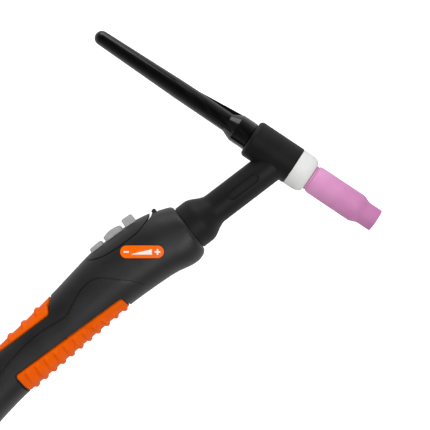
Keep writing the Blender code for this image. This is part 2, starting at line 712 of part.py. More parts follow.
def scallop_height(x):
    """Height of the lower grip's surface at x: a crest, then a round hollow to the next one."""
    phase = (x - LOWER_RIB_FIRST) / LOWER_RIB_PITCH % 1.0
    from_low = abs(phase - 0.5) * LOWER_RIB_PITCH
    flat_edge = LOWER_RIB_PITCH / 2 - 0.75
    reach = min(from_low, flat_edge)
    radius = (flat_edge**2 + LOWER_RIB_HEIGHT**2) / (2 * LOWER_RIB_HEIGHT)
    return radius - math.sqrt(radius**2 - reach**2)


def lower_grip_ring(x):
    """Ring of the lower grip at x: round the belly, with the ribs, closed through the middle."""
    ribbed = LOWER_RIB_FIRST - LOWER_RIB_PITCH * (LOWER_RIB_COUNT - 1) - 3 < x < LOWER_RIB_FIRST + 3
    rise = scallop_height(x) if ribbed else 0.0
    rib_end = -14.9 - 0.045 * x
    ring = [(x, 4.0, 0.0)]
    for i in range(HALF_RING):
        turn = 90 + RING_STEP * i
        _, y, _ = skin_point(x, turn, 0)
        fade = min(1.0, max(0.0, (rib_end - y) / 3.0))
        ring.append(skin_point(x, turn, -rise * fade))
    return ring


def upper_grip_ring(x):
    """Ring of the upper grip at x: over the top, with the ribs, closed through the middle."""
    near = min(abs(x - UPPER_RIB_FIRST + UPPER_RIB_PITCH * i) for i in range(UPPER_RIB_COUNT))
    rise = UPPER_RIB_HEIGHT if near < 1.0 else 0.0
    return [(x, -4.0, 0.0)] + [skin_point(x, RING_STEP * i, -rise) for i in range(-6, 7)]


def make_grips():
    """The ribbed lower grip and the slim upper one."""
    floor = skin_solid("grip_floor_tool", GRIP_DEPTH)
    crests = rib_stations(LOWER_RIB_FIRST, LOWER_RIB_PITCH, LOWER_RIB_COUNT, (-2.3, -0.75, 0.75, 2.3))
    stations = [-138.5, -135.6] + sorted(crests) + [-56.9, -55.5]
    lower = lofted("lower_grip", [lower_grip_ring(x) for x in stations], torch, orange_soft)
    crests = rib_stations(UPPER_RIB_FIRST, UPPER_RIB_PITCH, UPPER_RIB_COUNT, (-1.3, -0.7, 0.7, 1.3, 5.5))
    stations = [-152.0, -147.0] + sorted(crests) + [-91.5]
    upper = lofted("upper_grip", [upper_grip_ring(x) for x in stations], torch, orange_soft)
    for grip, corners in ((lower, LOWER_GRIP), (upper, UPPER_GRIP)):
        outline = guide(prism(grip.name + "_tool", grip_outline(corners), -PAST, PAST, torch))
        boolean(grip, "INTERSECT", outline)
        boolean(grip, "DIFFERENCE", floor)


def make_badge():
    """The badge on the right side, which follows the skin."""
    stations = [-47 + 2.5 * i for i in range(14)]
    badge = skin_piece("side_badge", -BADGE_RISE, orange_print, stations)
    boolean(badge, "INTERSECT", guide(prism("badge_tool", badge_outline(), 5, PAST, torch)))
    back = skin_solid("badge_back_tool", BADGE_RECESS - 0.35, [-48] + stations + [-13])
    boolean(badge, "DIFFERENCE", back)


def make_module():
    """The switch module: cover, buttons, board, switches, and the latch in front of it."""
    cover = skin_piece("switch_module_housing", 0, black_nylon)
    boolean(cover, "INTERSECT", guide(prism("module_tool", module_outline(), -PAST, PAST, torch)))
    core = skin_solid("module_core_tool", MODULE_WALL)
    core_outline = ((-58.3, 10), (-19.5, 10), (-19.5, 40), (-58.3, 40))
    boolean(core, "INTERSECT", guide(prism("module_core_outline_tool", core_outline, -PAST, PAST, torch)))
    boolean(cover, "DIFFERENCE", core)
    wide = BUTTON_HALF_WIDTH + GAP
    for name, outline in BUTTONS.items():
        back, front = outline[0][0], outline[-1][0]
        window = box(name + "_window_tool", (back - GAP, 18, -wide), (front + GAP, 40, wide), torch)
        boolean(cover, "DIFFERENCE", guide(window))
        make_button(name, outline)
        make_switch(name.replace("button", "switch"), (back + front) / 2)
    board_bottom = BOARD_TOP - BOARD_THICKNESS
    box("switch_board", (-57.5, board_bottom, -8.0), (-20.5, BOARD_TOP, 8.0), torch, green_board)
    make_latch()


def make_button(name, outline):
    """A button with its retaining lip and stem; its origin is in its base, on its middle."""
    back, front = outline[0][0], outline[-1][0]
    middle = (back + front) / 2
    at = (middle, BUTTON_BASE, 0)
    drawn = [(x - middle, y - BUTTON_BASE) for x, y in outline]
    drawn[0] = (back - middle, 0.0)
    drawn[-1] = (front - middle, 0.0)
    button = prism(name, drawn, -BUTTON_HALF_WIDTH, BUTTON_HALF_WIDTH, torch, grey_button, at)
    bevel = button.modifiers.new("soft_edges", "BEVEL")
    bevel.width = 0.5 * MM
    bevel.segments = 1
    bevel.limit_method = "ANGLE"
    bevel.angle_limit = math.radians(50)
    lip = box(
        name + "_lip_tool", (back - middle - BUTTON_LIP_REACH, BUTTON_LIP[0], 0.5 - BUTTON_HALF_WIDTH),
        (front - middle + BUTTON_LIP_REACH, BUTTON_LIP[1], BUTTON_HALF_WIDTH - 0.5), torch, None, at,
    )
    boolean(button, "UNION", guide(lip))
    stem_end = PLUNGER_TOP + BUTTON_TRAVEL + GAP - BUTTON_BASE
    stem = rod(name + "_stem_tool", STEM_RADIUS, stem_end, 1.0, torch, steps=12, at=at)
    stem.rotation_euler.x = -math.pi / 2
    boolean(button, "UNION", stem)


def make_switch(name, middle):
    """A switch on the board, with its plunger."""
    floor = BOARD_TOP + GAP
    high = SWITCH_TOP - floor
    switch = box(
        name, (-SWITCH_HALF, 0, -SWITCH_HALF), (SWITCH_HALF, high, SWITCH_HALF), torch, black_nylon,
        (middle, floor, 0),
    )
    plunger = rod(
        name + "_plunger_tool", PLUNGER_RADIUS, 1.0, PLUNGER_TOP - floor, torch, steps=12,
        at=(middle, floor, 0),
    )
    plunger.rotation_euler.x = -math.pi / 2
    boolean(switch, "UNION", plunger)


def make_latch():
    """The spring hook, with its origin on the root that it flexes about."""
    middle = (LATCH_BACK + LATCH_FRONT) / 2
    at = (middle, LATCH_ROOT, 0)
    low = -0.5
    high = LATCH_TOP - LATCH_ROOT
    outline = (
        (LATCH_BACK - middle, low), (LATCH_FRONT - middle, low), (LATCH_FRONT - middle, high - 0.5),
        (LATCH_FRONT - middle - 0.6, high), (LATCH_BACK - middle + 0.2, high),
        (LATCH_BACK - middle - 0.5, high - 0.4), (LATCH_BACK - middle - 0.3, high - 1.0),
        (LATCH_BACK - middle, high - 1.1),
    )
    prism("module_latch", outline, -LATCH_HALF_WIDTH, LATCH_HALF_WIDTH, torch, black_nylon, at)


def make_screws():
    """The screws that join the shells, with a hexagon socket in each head."""
    seat = SCREW_SEAT - GAP
    head_back = seat - SCREW_HEAD_HEIGHT
    section = (
        (0, head_back), (SCREW_HEAD_RADIUS - 0.3, head_back), (SCREW_HEAD_RADIUS, head_back + 0.4),
        (SCREW_HEAD_RADIUS, seat), (SCREW_SHANK_RADIUS, seat), (SCREW_SHANK_RADIUS, SCREW_END - 1),
        (0, SCREW_END),
    )
    for i, (x, y) in enumerate(SCREW_PLACES, start=1):
        screw = turned(f"handle_screw_{i}", section, torch, steel, steps=12, at=(x, y, 0))
        socket = rod(
            f"socket_tool_{i}", SOCKET_RADIUS, head_back - 1, head_back + SOCKET_DEPTH, torch, steps=6,
            at=(x, y, 0),
        )
        boolean(screw, "DIFFERENCE", socket)


def make_inlet():
    """The ring that closes the rear end, where a cable would enter."""
    step = HANDLE_STATIONS[0] - GAP
    section = (
        (COLLAR_RING_BORE, COLLAR_RING_BACK), (COLLAR_RING_RADIUS - 1, COLLAR_RING_BACK),
        (COLLAR_RING_RADIUS, COLLAR_RING_BACK + 1), (COLLAR_RING_RADIUS, step),
        (COLLAR_SPIGOT_RADIUS, step), (COLLAR_SPIGOT_RADIUS, COLLAR_RING_FRONT),
        (COLLAR_RING_BORE, COLLAR_RING_FRONT),
    )
    turned("cable_inlet_collar", section, torch, black_nylon, at=(0, COLLAR_RING_Y, 0), axis="X")


make_body()
make_tubes()
make_head()
make_shells()
make_grips()
make_badge()
make_module()
make_screws()
make_inlet()
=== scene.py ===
import json
import math

import bpy
import numpy as np
from mathutils import Matrix, Vector


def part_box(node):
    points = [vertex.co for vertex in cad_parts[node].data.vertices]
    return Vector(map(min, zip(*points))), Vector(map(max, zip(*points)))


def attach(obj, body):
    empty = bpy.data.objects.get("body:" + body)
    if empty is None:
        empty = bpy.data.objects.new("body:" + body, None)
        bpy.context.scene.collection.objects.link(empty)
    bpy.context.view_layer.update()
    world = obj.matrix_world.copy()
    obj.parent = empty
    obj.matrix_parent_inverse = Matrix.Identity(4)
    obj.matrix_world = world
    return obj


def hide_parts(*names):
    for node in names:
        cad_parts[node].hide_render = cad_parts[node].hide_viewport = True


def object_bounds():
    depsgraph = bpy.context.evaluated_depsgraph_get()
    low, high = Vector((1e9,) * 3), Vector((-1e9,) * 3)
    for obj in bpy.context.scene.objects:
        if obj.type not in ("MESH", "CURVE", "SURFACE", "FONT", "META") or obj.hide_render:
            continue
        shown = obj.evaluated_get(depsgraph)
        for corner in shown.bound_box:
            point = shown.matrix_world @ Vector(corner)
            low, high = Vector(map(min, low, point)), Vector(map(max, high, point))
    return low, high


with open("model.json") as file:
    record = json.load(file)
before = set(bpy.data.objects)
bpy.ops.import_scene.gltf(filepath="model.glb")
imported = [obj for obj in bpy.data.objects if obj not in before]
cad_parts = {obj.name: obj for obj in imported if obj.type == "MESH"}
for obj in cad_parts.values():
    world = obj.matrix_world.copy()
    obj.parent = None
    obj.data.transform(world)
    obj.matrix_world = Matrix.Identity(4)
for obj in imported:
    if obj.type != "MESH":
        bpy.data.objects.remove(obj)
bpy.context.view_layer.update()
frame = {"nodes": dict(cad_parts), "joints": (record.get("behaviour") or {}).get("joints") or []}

joints = {joint["name"]: joint for joint in frame["joints"]}


# ---- Head and neck moulding -----------------------------------------------------------------
# Black silicone rubber, moulded in one shot over the brass core and the three tubes. It is a
# round neck that flares into a collar, a barrel across its end, and an oval recess on each side.
# The frames here serve the whole torch: sizes are in millimetres, along and about each axis.

MM = 0.001
head_middle = Vector(joints["back_cap_turn"]["pos_m"])
cup_way = Vector(joints["cup_travel"]["axis"]).normalized()
nose_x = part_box("handle_shell_right")[1].x
torch_frame = Matrix.Translation((nose_x, head_middle.y, head_middle.z))
neck_axes = Matrix(((0, 0, 1), (0, 1, 0), (-1, 0, 0))).to_4x4()
neck_frame = torch_frame @ neck_axes
head_side = Vector((0, 0, 1))
head_frame = Matrix((head_side, cup_way.cross(head_side), cup_way)).transposed().to_4x4()
head_frame.translation = head_middle
head_x = (head_middle.x - nose_x) / MM


def pick(piece):
    """Makes a piece the only one selected, and the active one."""
    bpy.ops.object.select_all(action="DESELECT")
    piece.select_set(True)
    bpy.context.view_layer.objects.active = piece
    return piece


def closed_up(piece):
    """Merges a piece's doubles and turns its faces outwards."""
    pick(piece)
    bpy.ops.object.mode_set(mode="EDIT")
    bpy.ops.mesh.select_all(action="SELECT")
    bpy.ops.mesh.remove_doubles(threshold=0.001 * MM)
    bpy.ops.mesh.normals_make_consistent(inside=False)
    bpy.ops.object.mode_set(mode="OBJECT")
    return piece


def turned(name, stations, steps=96, at=(0, 0, 0), place=None):
    """A round piece: a ring drawn out through (radius, height) stations.

    Stations that end where they began give a tube.
    """
    hollow = tuple(stations[0]) == tuple(stations[-1])
    radius, height = stations[0]
    bpy.ops.object.select_all(action="DESELECT")
    bpy.ops.mesh.primitive_circle_add(
        vertices=steps, radius=radius * MM, fill_type="NOTHING" if hollow else "NGON",
        location=(0, 0, height * MM),
    )
    piece = bpy.context.object
    piece.name = name
    bpy.ops.object.transform_apply(location=True)
    bpy.ops.object.mode_set(mode="EDIT")
    for next_radius, next_height in stations[1:]:
        climb = (0, 0, (next_height - height) * MM)
        bpy.ops.mesh.extrude_region_move(TRANSFORM_OT_translate={"value": climb})
        spread = next_radius / radius
        bpy.ops.transform.resize(value=(spread, spread, 1), center_override=(0, 0, 0))
        radius, height = next_radius, next_height
    bpy.ops.object.mode_set(mode="OBJECT")
    closed_up(piece)
    place = torch_frame if place is None else place
    return set_in(piece, place @ Matrix.Translation(Vector(at) * MM))


def set_in(piece, place):
    """Puts a drawn piece into one of the torch's frames, with its place in its mesh."""
    piece.matrix_world = place @ piece.matrix_world
    pick(piece)
    bpy.ops.object.transform_apply(location=True, rotation=True, scale=True)
    return piece


def cut(piece, tool, operation="DIFFERENCE"):
    """Cuts a piece with a tool, or joins the tool to it, and takes the tool away."""
    pick(piece)
    bpy.ops.object.modifier_add(type="BOOLEAN")
    modifier = piece.modifiers[-1]
    modifier.operation = operation
    modifier.solver = "EXACT"
    modifier.object = tool
    bpy.ops.object.modifier_apply(modifier=modifier.name)
    bpy.data.objects.remove(tool, do_unlink=True)
    return piece


def softened(piece, width, segments=2, angle=28):
    """Rounds the edges that are sharper than an angle."""
    pick(piece)
    bpy.ops.object.modifier_add(type="BEVEL")
    modifier = piece.modifiers[-1]
    modifier.width = width * MM
    modifier.segments = segments
    modifier.limit_method = "ANGLE"
    modifier.angle_limit = math.radians(angle)
    modifier.harden_normals = False
    bpy.ops.object.modifier_apply(modifier=modifier.name)
    return piece


def smoothed(piece, angle=32):
    """Shades a piece smooth, except over its sharp edges, with the large faces leading."""
    pick(piece)
    bpy.ops.object.shade_smooth_by_angle(angle=math.radians(angle))
    bpy.ops.object.modifier_add(type="WEIGHTED_NORMAL")
    modifier = piece.modifiers[-1]
    modifier.keep_sharp = True
    bpy.ops.object.modifier_apply(modifier=modifier.name)
    return piece


def easing(start, end, steps):
    """Shares of an S-shaped change from one value to another."""
    return [start + (end - start) * (1 - math.cos(math.pi * i / steps)) / 2 for i in range(1, steps + 1)]


def arc(centre, radius, start, end, steps):
    """Points of an arc, from one angle in degrees to another."""
    turns = [math.radians(start + (end - start) * i / steps) for i in range(steps + 1)]
    return [(centre[0] + radius * math.cos(t), centre[1] + radius * math.sin(t)) for t in turns]


def sheet_prism(name, outline, low, high, place=torch_frame):
    """A flat outline in X and Y drawn out along Z: a filled ring with its corners moved, then extruded."""
    bpy.ops.object.select_all(action="DESELECT")
    bpy.ops.mesh.primitive_circle_add(vertices=len(outline), radius=1, fill_type="NGON")
    piece = bpy.context.object
    piece.name = name
    for vertex, (x, y) in zip(piece.data.vertices, outline):
        vertex.co = (x * MM, y * MM, low * MM)
    bpy.ops.object.mode_set(mode="EDIT")
    bpy.ops.mesh.extrude_region_move(TRANSFORM_OT_translate={"value": (0, 0, (high - low) * MM)})
    bpy.ops.object.mode_set(mode="OBJECT")
    closed_up(piece)
    return set_in(piece, place)


def shown(piece, body, slot, material, *nodes):
    """Gives a finished piece its material, the body it rides on and the CAD nodes that it stands for."""
    piece.data.materials.clear()
    piece.data.materials.append(material)
    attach(piece, body)
    if nodes:
        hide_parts(*nodes)
    return piece


def linear(hex_colour):
    """A linear colour from an sRGB hex value."""
    parts = [int(hex_colour[i:i + 2], 16) / 255 for i in (1, 3, 5)]
    return (*(p / 12.92 if p <= 0.04045 else ((p + 0.055) / 1.055) ** 2.4 for p in parts), 1)


def node(material, kind, settings, links=()):
    """Adds a shader node with its settings, and links its inputs, given as (input, node, output)."""
    tree = material.node_tree
    made = tree.nodes.new(kind)
    for name, value in settings.items():
        if name in made.inputs:
            made.inputs[name].default_value = value
        else:
            setattr(made, name, value)
    for name, source, output in links:
        tree.links.new(source.outputs[output], made.inputs[name])
    return made


def finish(name, hex_colour, **sockets):
    """A material with one Principled shader, and the values that are even all over it."""
    material = bpy.data.materials.new(name)
    material.use_nodes = True
    inputs = material.node_tree.nodes["Principled BSDF"].inputs
    inputs["Base Color"].default_value = linear(hex_colour)
    for socket, value in sockets.items():
        inputs[socket.replace("_", " ").title().replace("Ior", "IOR")].default_value = value
    return material


def feed(material, socket, source, output):
    """Links a node's output to one of the shader's inputs."""
    shader = material.node_tree.nodes["Principled BSDF"]
    material.node_tree.links.new(source.outputs[output], shader.inputs[socket])


def patterned(material, kind, size, settings, tones=(), dullness=(), relief=(), stretch=None):
    """Lays a texture of a size in millimetres over a piece, and lets it vary the finish.

    `tones` are a dark and a light colour, and the values of the texture where each is full.
    `dullness` is the roughness at its low and its high end, and the values where those lie.
    `relief` is a bump's strength, and its height in millimetres. `stretch` scales the texture
    across, along and through the head. Gives the node of the tones, where there is one.
    """
    place, output, tone = node(material, "ShaderNodeTexCoord", {}), "Object", None
    if stretch:
        lie = {"Rotation": (0, 0, math.pi / 2 - math.atan2(cup_way.y, cup_way.x)), "Scale": stretch}
        place, output = node(material, "ShaderNodeMapping", lie, [("Vector", place, output)]), "Vector"
    settings = {"Scale": 1 / (size * MM), **settings}
    texture = node(material, "ShaderNodeTex" + kind, settings, [("Vector", place, output)])
    value = "Distance" if kind == "Voronoi" else "Fac"
    if tones:
        tone = node(material, "ShaderNodeValToRGB", {}, [("Fac", texture, value)])
        for end, colour in zip(tone.color_ramp.elements, tones[:2]):
            end.color = linear(colour)
        for end, position in zip(tone.color_ramp.elements, tones[2:]):
            end.position = position
        feed(material, "Base Color", tone, "Color")
    if dullness:
        ends = dict(zip(("To Min", "To Max", "From Min", "From Max"), dullness))
        spread = node(material, "ShaderNodeMapRange", ends, [("Value", texture, value)])
        feed(material, "Roughness", spread, "Result")
    if relief:
        height = {"Strength": relief[0], "Distance": relief[1] * MM}
        bump = node(material, "ShaderNodeBump", height, [("Height", texture, value)])
        feed(material, "Normal", bump, "Normal")
    return tone


NECK_RADIUS = 9.75
COLLAR_RADIUS = 14.6
BARREL_RADIUS = 12.1
BARREL_BACK = -22.5
BARREL_FRONT = 9.15

FLARE_START = 7.1
FLARE_LENGTH = 13.5
TUBE_PLACES = ((5.2, 4.6, 2.7), (5.2, -4.6, 2.7), (-2.4, 0.0, 4.3))   # height, side and radius
RECESS_RADIUS = 2.8
RECESS_DEPTH = 1.0
RECESS_FLOOR_RADIUS = 2.3
RECESS_RIM_DEPTH = 1.8   # of the fine groove round the recess's floor


def neck_oval(radius):
    """Outline of a long oval on the side of the neck."""
    return arc((49.9, -0.1), radius, -90, 90, 16) + arc((33.1, -0.1), radius, 90, 270, 16)


heights = [FLARE_START + FLARE_LENGTH * i / 16 for i in range(1, 17)]
flare = list(zip(easing(COLLAR_RADIUS, NECK_RADIUS, 16), heights))
stations = [(13.8, -14), (COLLAR_RADIUS, -13.2), (COLLAR_RADIUS, FLARE_START)] + flare
stations += [(NECK_RADIUS, head_x)]
moulding = turned("head_and_neck_moulding", stations, 128, place=neck_frame)
back_edge = arc((BARREL_RADIUS - 2.5, BARREL_BACK + 2.5), 2.5, -90, 0, 6)
stations = back_edge + [(BARREL_RADIUS, BARREL_FRONT - 0.5), (BARREL_RADIUS - 0.5, BARREL_FRONT)]
cut(moulding, turned("barrel", stations, 128, place=head_frame), "UNION")
softened(moulding, 0.4, 3, 30)
for side in (-1, 1):
    floor, rim = (
        sorted((side * (NECK_RADIUS - depth), side * (NECK_RADIUS + 3)))
        for depth in (RECESS_DEPTH, RECESS_RIM_DEPTH)
    )
    groove = sheet_prism("recess_rim", neck_oval(RECESS_RADIUS), *rim)
    cut(moulding, sheet_prism("neck_recess", neck_oval(RECESS_RADIUS), *floor))
    cut(groove, sheet_prism("recess_floor", neck_oval(RECESS_FLOOR_RADIUS), -20, 20))
    cut(moulding, groove)
joint_line = [(14.0, 0.1), (16, 0.1), (16, 0.7), (14.0, 0.7), (14.0, 0.1)]
cut(moulding, turned("joint_line", joint_line, 128, place=neck_frame))
cut(moulding, turned("core_bore", [(9.3, -30), (9.3, 20)], 64, place=head_frame))
for height, across, radius in TUBE_PLACES:
    bore = [(radius, -20), (radius, 58.3)]
    cut(moulding, turned("tube_bore", bore, 32, at=(-across, height, 0), place=neck_frame))
smoothed(moulding)

# Silicone rubber, moulded in a blasted cavity: deep black, satin, with a soft grain and a faint
# haze of mould release that lightens it in broad patches.
head_rubber = finish("blasted_silicone_rubber", "#111112", roughness=0.55, specular_ior_level=0.32)
patterned(head_rubber, "Noise", 14, {"Detail": 3.0}, tones=("#0e0e0f", "#151516", 0.35, 0.7))
patterned(head_rubber, "Noise", 0.45, {"Detail": 4.0}, relief=(0.25, 0.06))
shown(moulding, "torch", "head_rubber", head_rubber, "torch_body_moulding")


# ---- Cup and its gasket -----------------------------------------------------------------------
# The cup is pressed and fired pink alumina: a short neck at the back, a long body, a shoulder and
# a thin tip. A PTFE gasket between it and the barrel seals the gas.

CUP_BACK = 21.4
CUP_TIP = 69.2
CUP_RADIUS = 9.1
TIP_RADIUS = 7.25
SHOULDER_START = 54.2
SHOULDER_LENGTH = 6.8
PAINTED_SHADE_FROM = 22      # where the painted shade starts to darken the pink
PAINTED_SHADE_OVER = 47

turns = [math.radians(turn) for turn in range(90, -1, -10)]
gasket_corner = [(12 - 3 * (1 - math.sin(turn)), 21.1 - 6 * (1 - math.cos(turn))) for turn in turns]
stations = [(9.3, 9.2), (11.8, 9.2), (12, 9.4)] + gasket_corner[:-1] + [(8.75, 21.1), (6.3, 21.1)]
stations += [(6.3, 12.3), (9.3, 12.3), (9.3, 9.2)]
gasket = turned("insulating_gasket", stations, 96, place=head_frame)
smoothed(gasket, 40)

heights = [SHOULDER_START + SHOULDER_LENGTH * i / 14 for i in range(1, 15)]
shoulder = list(zip(easing(CUP_RADIUS, TIP_RADIUS, 14), heights))
stations = [(6.25, CUP_BACK), (7.9, CUP_BACK)] + arc((7.9, CUP_BACK + 0.35), 0.35, -60, 0, 3)
stations += [(8.25, 22.4), (7.85, 22.5), (7.85, 22.95), (8.7, 23.0), (8.74, 24.2), (8.9, 24.35)]
stations += [(9.05, 24.55), (CUP_RADIUS, SHOULDER_START)] + shoulder
stations += arc((TIP_RADIUS - 0.7, CUP_TIP - 0.7), 0.7, 0, 90, 6)
stations += arc((5.95, CUP_TIP - 0.4), 0.4, 90, 180, 4)
stations += [(5.55, 57.4), (6.25, 49.4), (6.25, CUP_BACK)]
cup = turned("alumina_cup", stations, 128, place=head_frame)
smoothed(cup, 40)

# Fired alumina: pink through and through, eggshell-dull, with painted shade that darkens it towards
# the tip, faint clouds from the firing, fine grit, and a few pale specks.
pink_alumina = finish(
    "fired_pink_alumina", "#e19ccb", roughness=0.5, specular_ior_level=0.3, subsurface_weight=0.12,
    subsurface_scale=0.8 * MM, subsurface_radius=(1.0, 0.5, 0.7),
)
clouds = patterned(pink_alumina, "Noise", 7, {"Detail": 4.0}, tones=("#df97c8", "#e5a3d0", 0.3, 0.72))
place = node(pink_alumina, "ShaderNodeTexCoord", {})
dot = {"operation": "DOT_PRODUCT"}
along = node(pink_alumina, "ShaderNodeVectorMath", dot, [("Vector", place, "Object")])
along.inputs[1].default_value = cup_way
# Painted shade: a share that grows from 0 to 0.7 along the cup towards the tip, by which the pink is
# darkened.
cup_start = head_middle.dot(cup_way) + PAINTED_SHADE_FROM * MM
cup_end = cup_start + PAINTED_SHADE_OVER * MM
painted_shade_span = {"From Min": cup_start, "From Max": cup_end, "To Min": 0.0, "To Max": 0.7}
depth = node(pink_alumina, "ShaderNodeMapRange", painted_shade_span, [("Value", along, "Value")])
specks = node(pink_alumina, "ShaderNodeTexVoronoi", {"Scale": 1 / (1.6 * MM)}, [("Vector", place, "Object")])
speck_edge = {"From Min": 0.06, "From Max": 0.13, "To Min": 0.5, "To Max": 0.0}
speck_share = node(pink_alumina, "ShaderNodeMapRange", speck_edge, [("Value", specks, "Distance")])
# A Mix node's colours are its inputs 6 and 7, and its output 2.
under, output = clouds, "Color"
# The first mix lays the painted shade, a darker pink, over the clouds; the second lays on the pale specks.
for share, colour in ((depth, "#b56a9f"), (speck_share, "#e8bcd9")):
    mix = node(pink_alumina, "ShaderNodeMix", {"data_type": "RGBA"}, [("Factor", share, "Result")])
    pink_alumina.node_tree.links.new(under.outputs[output], mix.inputs[6])
    mix.inputs[7].default_value = linear(colour)
    under, output = mix, 2
feed(pink_alumina, "Base Color", under, output)
patterned(pink_alumina, "Noise", 0.35, {"Detail": 3.0}, relief=(0.18, 0.05))
shown(cup, "ceramic_cup", "pink_alumina", pink_alumina, "ceramic_cup")

# PTFE, turned from bar: waxy white, a little translucent, with the lathe's fine rings.
white_ptfe = finish(
    "turned_ptfe", "#e9e9e7", roughness=0.42, ior=1.35, subsurface_weight=0.3, subsurface_scale=2 * MM,
    subsurface_radius=(1.0, 0.95, 0.9),
)
patterned(white_ptfe, "Noise", 9, {"Detail": 2.0}, tones=("#e2e2e0", "#efefee"))
patterned(white_ptfe, "Noise", 0.5, {"Detail": 2.0}, relief=(0.15, 0.04), stretch=(0.05, 1, 0.05))
shown(gasket, "torch", "white_ptfe", white_ptfe, "cup_gasket")


# ---- Collet body and electrode ------------------------------------------------------------------
# The copper collet body is what shows inside the cup's mouth, with four gas ports round its stem.
# The electrode is centreless-ground tungsten with a sharpened tip, and the collet grips it.

stations = [(2.9, -1), (5.9, -1), (5.9, 33.5), (4.6, 34.5), (4.6, 49), (3.4, 51.7), (3.1, 52)]
stations += [(1.6, 52), (1.6, 49.5), (2.9, 48.3), (2.9, -1)]
collet_body = turned("drilled_collet_body", stations, 64, place=head_frame)
ports_frame = head_frame @ Matrix.Translation((0, 0, 41 * MM))
for turn in (0, 90):
    port = turned("gas_port", [(0.9, -8), (0.9, 8)], 24, place=Matrix.Rotation(math.pi / 2, 4, "X"))
    port.matrix_world = ports_frame @ Matrix.Rotation(math.radians(turn), 4, "Z")
    cut(collet_body, port)
smoothed(collet_body, 30)
stations = [(1.2, -109), (1.2, 61), (0.08, 65.95), (0.02, 66)]
electrode = turned("ground_electrode", stations, 48, place=head_frame)
smoothed(electrode, 30)

# Copper, machined and lightly tarnished by heat: warm, with darker clouds.
copper = finish("machined_copper", "#c87852", metallic=1.0, roughness=0.3)
patterned(
    copper, "Noise", 4, {"Detail": 5.0}, tones=("#8f4f38", "#d5865e", 0.3, 0.62), dullness=(0.42, 0.24),
)
shown(collet_body, "torch", "copper", copper, "collet_body")

# Tungsten, ground: cool grey, with fine marks along its length.
tungsten = finish("ground_tungsten", "#8b8c90", metallic=1.0, roughness=0.34)
patterned(tungsten, "Noise", 0.3, {"Detail": 2.0}, dullness=(0.26, 0.44), stretch=(1, 0.04, 1))
shown(electrode, "electrode", "tungsten", tungsten, "tungsten_electrode")


# ---- Back cap and its seal ------------------------------------------------------------------------
# The long cap is compression-moulded phenolic: a round base with three flats, three fins that fade
# into a tapered rod with a ball end, and a threaded nose that closes the collet. An O-ring seals it.

CAP_FACE = -22.6
CAP_BASE = -33.0
CAP_CONE = -38.6
CAP_FIN_END = -74.5
CAP_TIP = -136.0
ROD_END = 4.6

ball = arc((0, CAP_TIP + ROD_END), ROD_END, -86, 0, 12)
stations = ball + [(5.9, CAP_FIN_END), (6.15, CAP_CONE - 0.4), (6.3, CAP_CONE)]
stations += [(8.72, CAP_BASE), (8.82, CAP_BASE + 0.25), (8.82, CAP_FACE - 0.45)]
stations += [(8.7, CAP_FACE - 0.12), (8.45, CAP_FACE), (5.9, CAP_FACE)]
for thread in range(9):
    foot = -20.2 + 1.25 * thread
    stations += [(5.9, foot), (5.45, foot + 0.35), (5.45, foot + 0.65), (5.9, foot + 1.0)]
stations += [(5.9, -8.9), (5.5, -8.5), (3.9, -8.5), (3.9, -17), (2, -17), (2, -118), (0.05, -119.5)]
cap = turned("long_back_cap", stations, 96, place=head_frame)
fin_outline = [
    (4.0, CAP_FACE - 0.4), (9.0, CAP_FACE - 0.4), (9.0, CAP_BASE), (8.6, CAP_BASE - 0.6),
    (5.0, CAP_FIN_END), (4.0, CAP_FIN_END),
]
flat_outline = [
    (7.8, CAP_FACE + 1), (7.8, CAP_BASE - 0.2), (6.1, CAP_CONE), (12, CAP_CONE), (12, CAP_FACE + 1),
]
upright = Matrix(((1, 0, 0), (0, 0, 1), (0, 1, 0))).to_4x4()
for turn in (-30, 90, 210):
    flat = sheet_prism("flat", flat_outline, -6, 6, upright)
    flat.matrix_world = head_frame @ Matrix.Rotation(math.radians(turn), 4, "Z")
    cut(cap, flat)
for turn in (-90, 30, 150):
    fin = sheet_prism("fin", fin_outline, -0.9, 0.9, upright)
    softened(fin, 0.45, 3, 40)
    fin.matrix_world = head_frame @ Matrix.Rotation(math.radians(turn), 4, "Z")
    cut(cap, fin, "UNION")
smoothed(cap, 13)

# Phenolic, moulded under pressure in a polished tool: jet black and glossy, with faint flow marks
# along it that break up the highlight.
phenolic = finish("polished_phenolic", "#030303", roughness=0.16, ior=1.6)
patterned(
    phenolic, "Noise", 3, {"Detail": 5.0}, tones=("#020202", "#070708"), dullness=(0.1, 0.26, 0.35, 0.7),
    stretch=(1, 0.12, 1),
)
patterned(phenolic, "Noise", 8, {"Detail": 1.0}, relief=(0.12, 0.2), stretch=(1, 0.12, 1))
shown(cap, "back_cap", "cap_phenolic", phenolic, "back_cap")

ring = arc((7.3, -21.55), 0.75, 0, 360, 16)
seal = turned("cap_o_ring", ring[:-1] + [ring[0]], 72, place=head_frame)
smoothed(seal, 60)

# Nitrile rubber, moulded: black and slightly waxy, with a fine orange-peel grain.
nitrile = finish("moulded_nitrile", "#101010", roughness=0.4)
patterned(nitrile, "Noise", 0.4, {"Detail": 2.0}, dullness=(0.32, 0.5), relief=(0.2, 0.05))
shown(seal, "cap_carrier", "seal_rubber", nitrile, "back_cap_o_ring")


# ---- Handle shells ----------------------------------------------------------------------------
# Two halves of glass-filled nylon, injection moulded and spark-textured, screwed together from the
# left. Each is a hollow half of one smooth body, cut for the collar, the module and the grips.

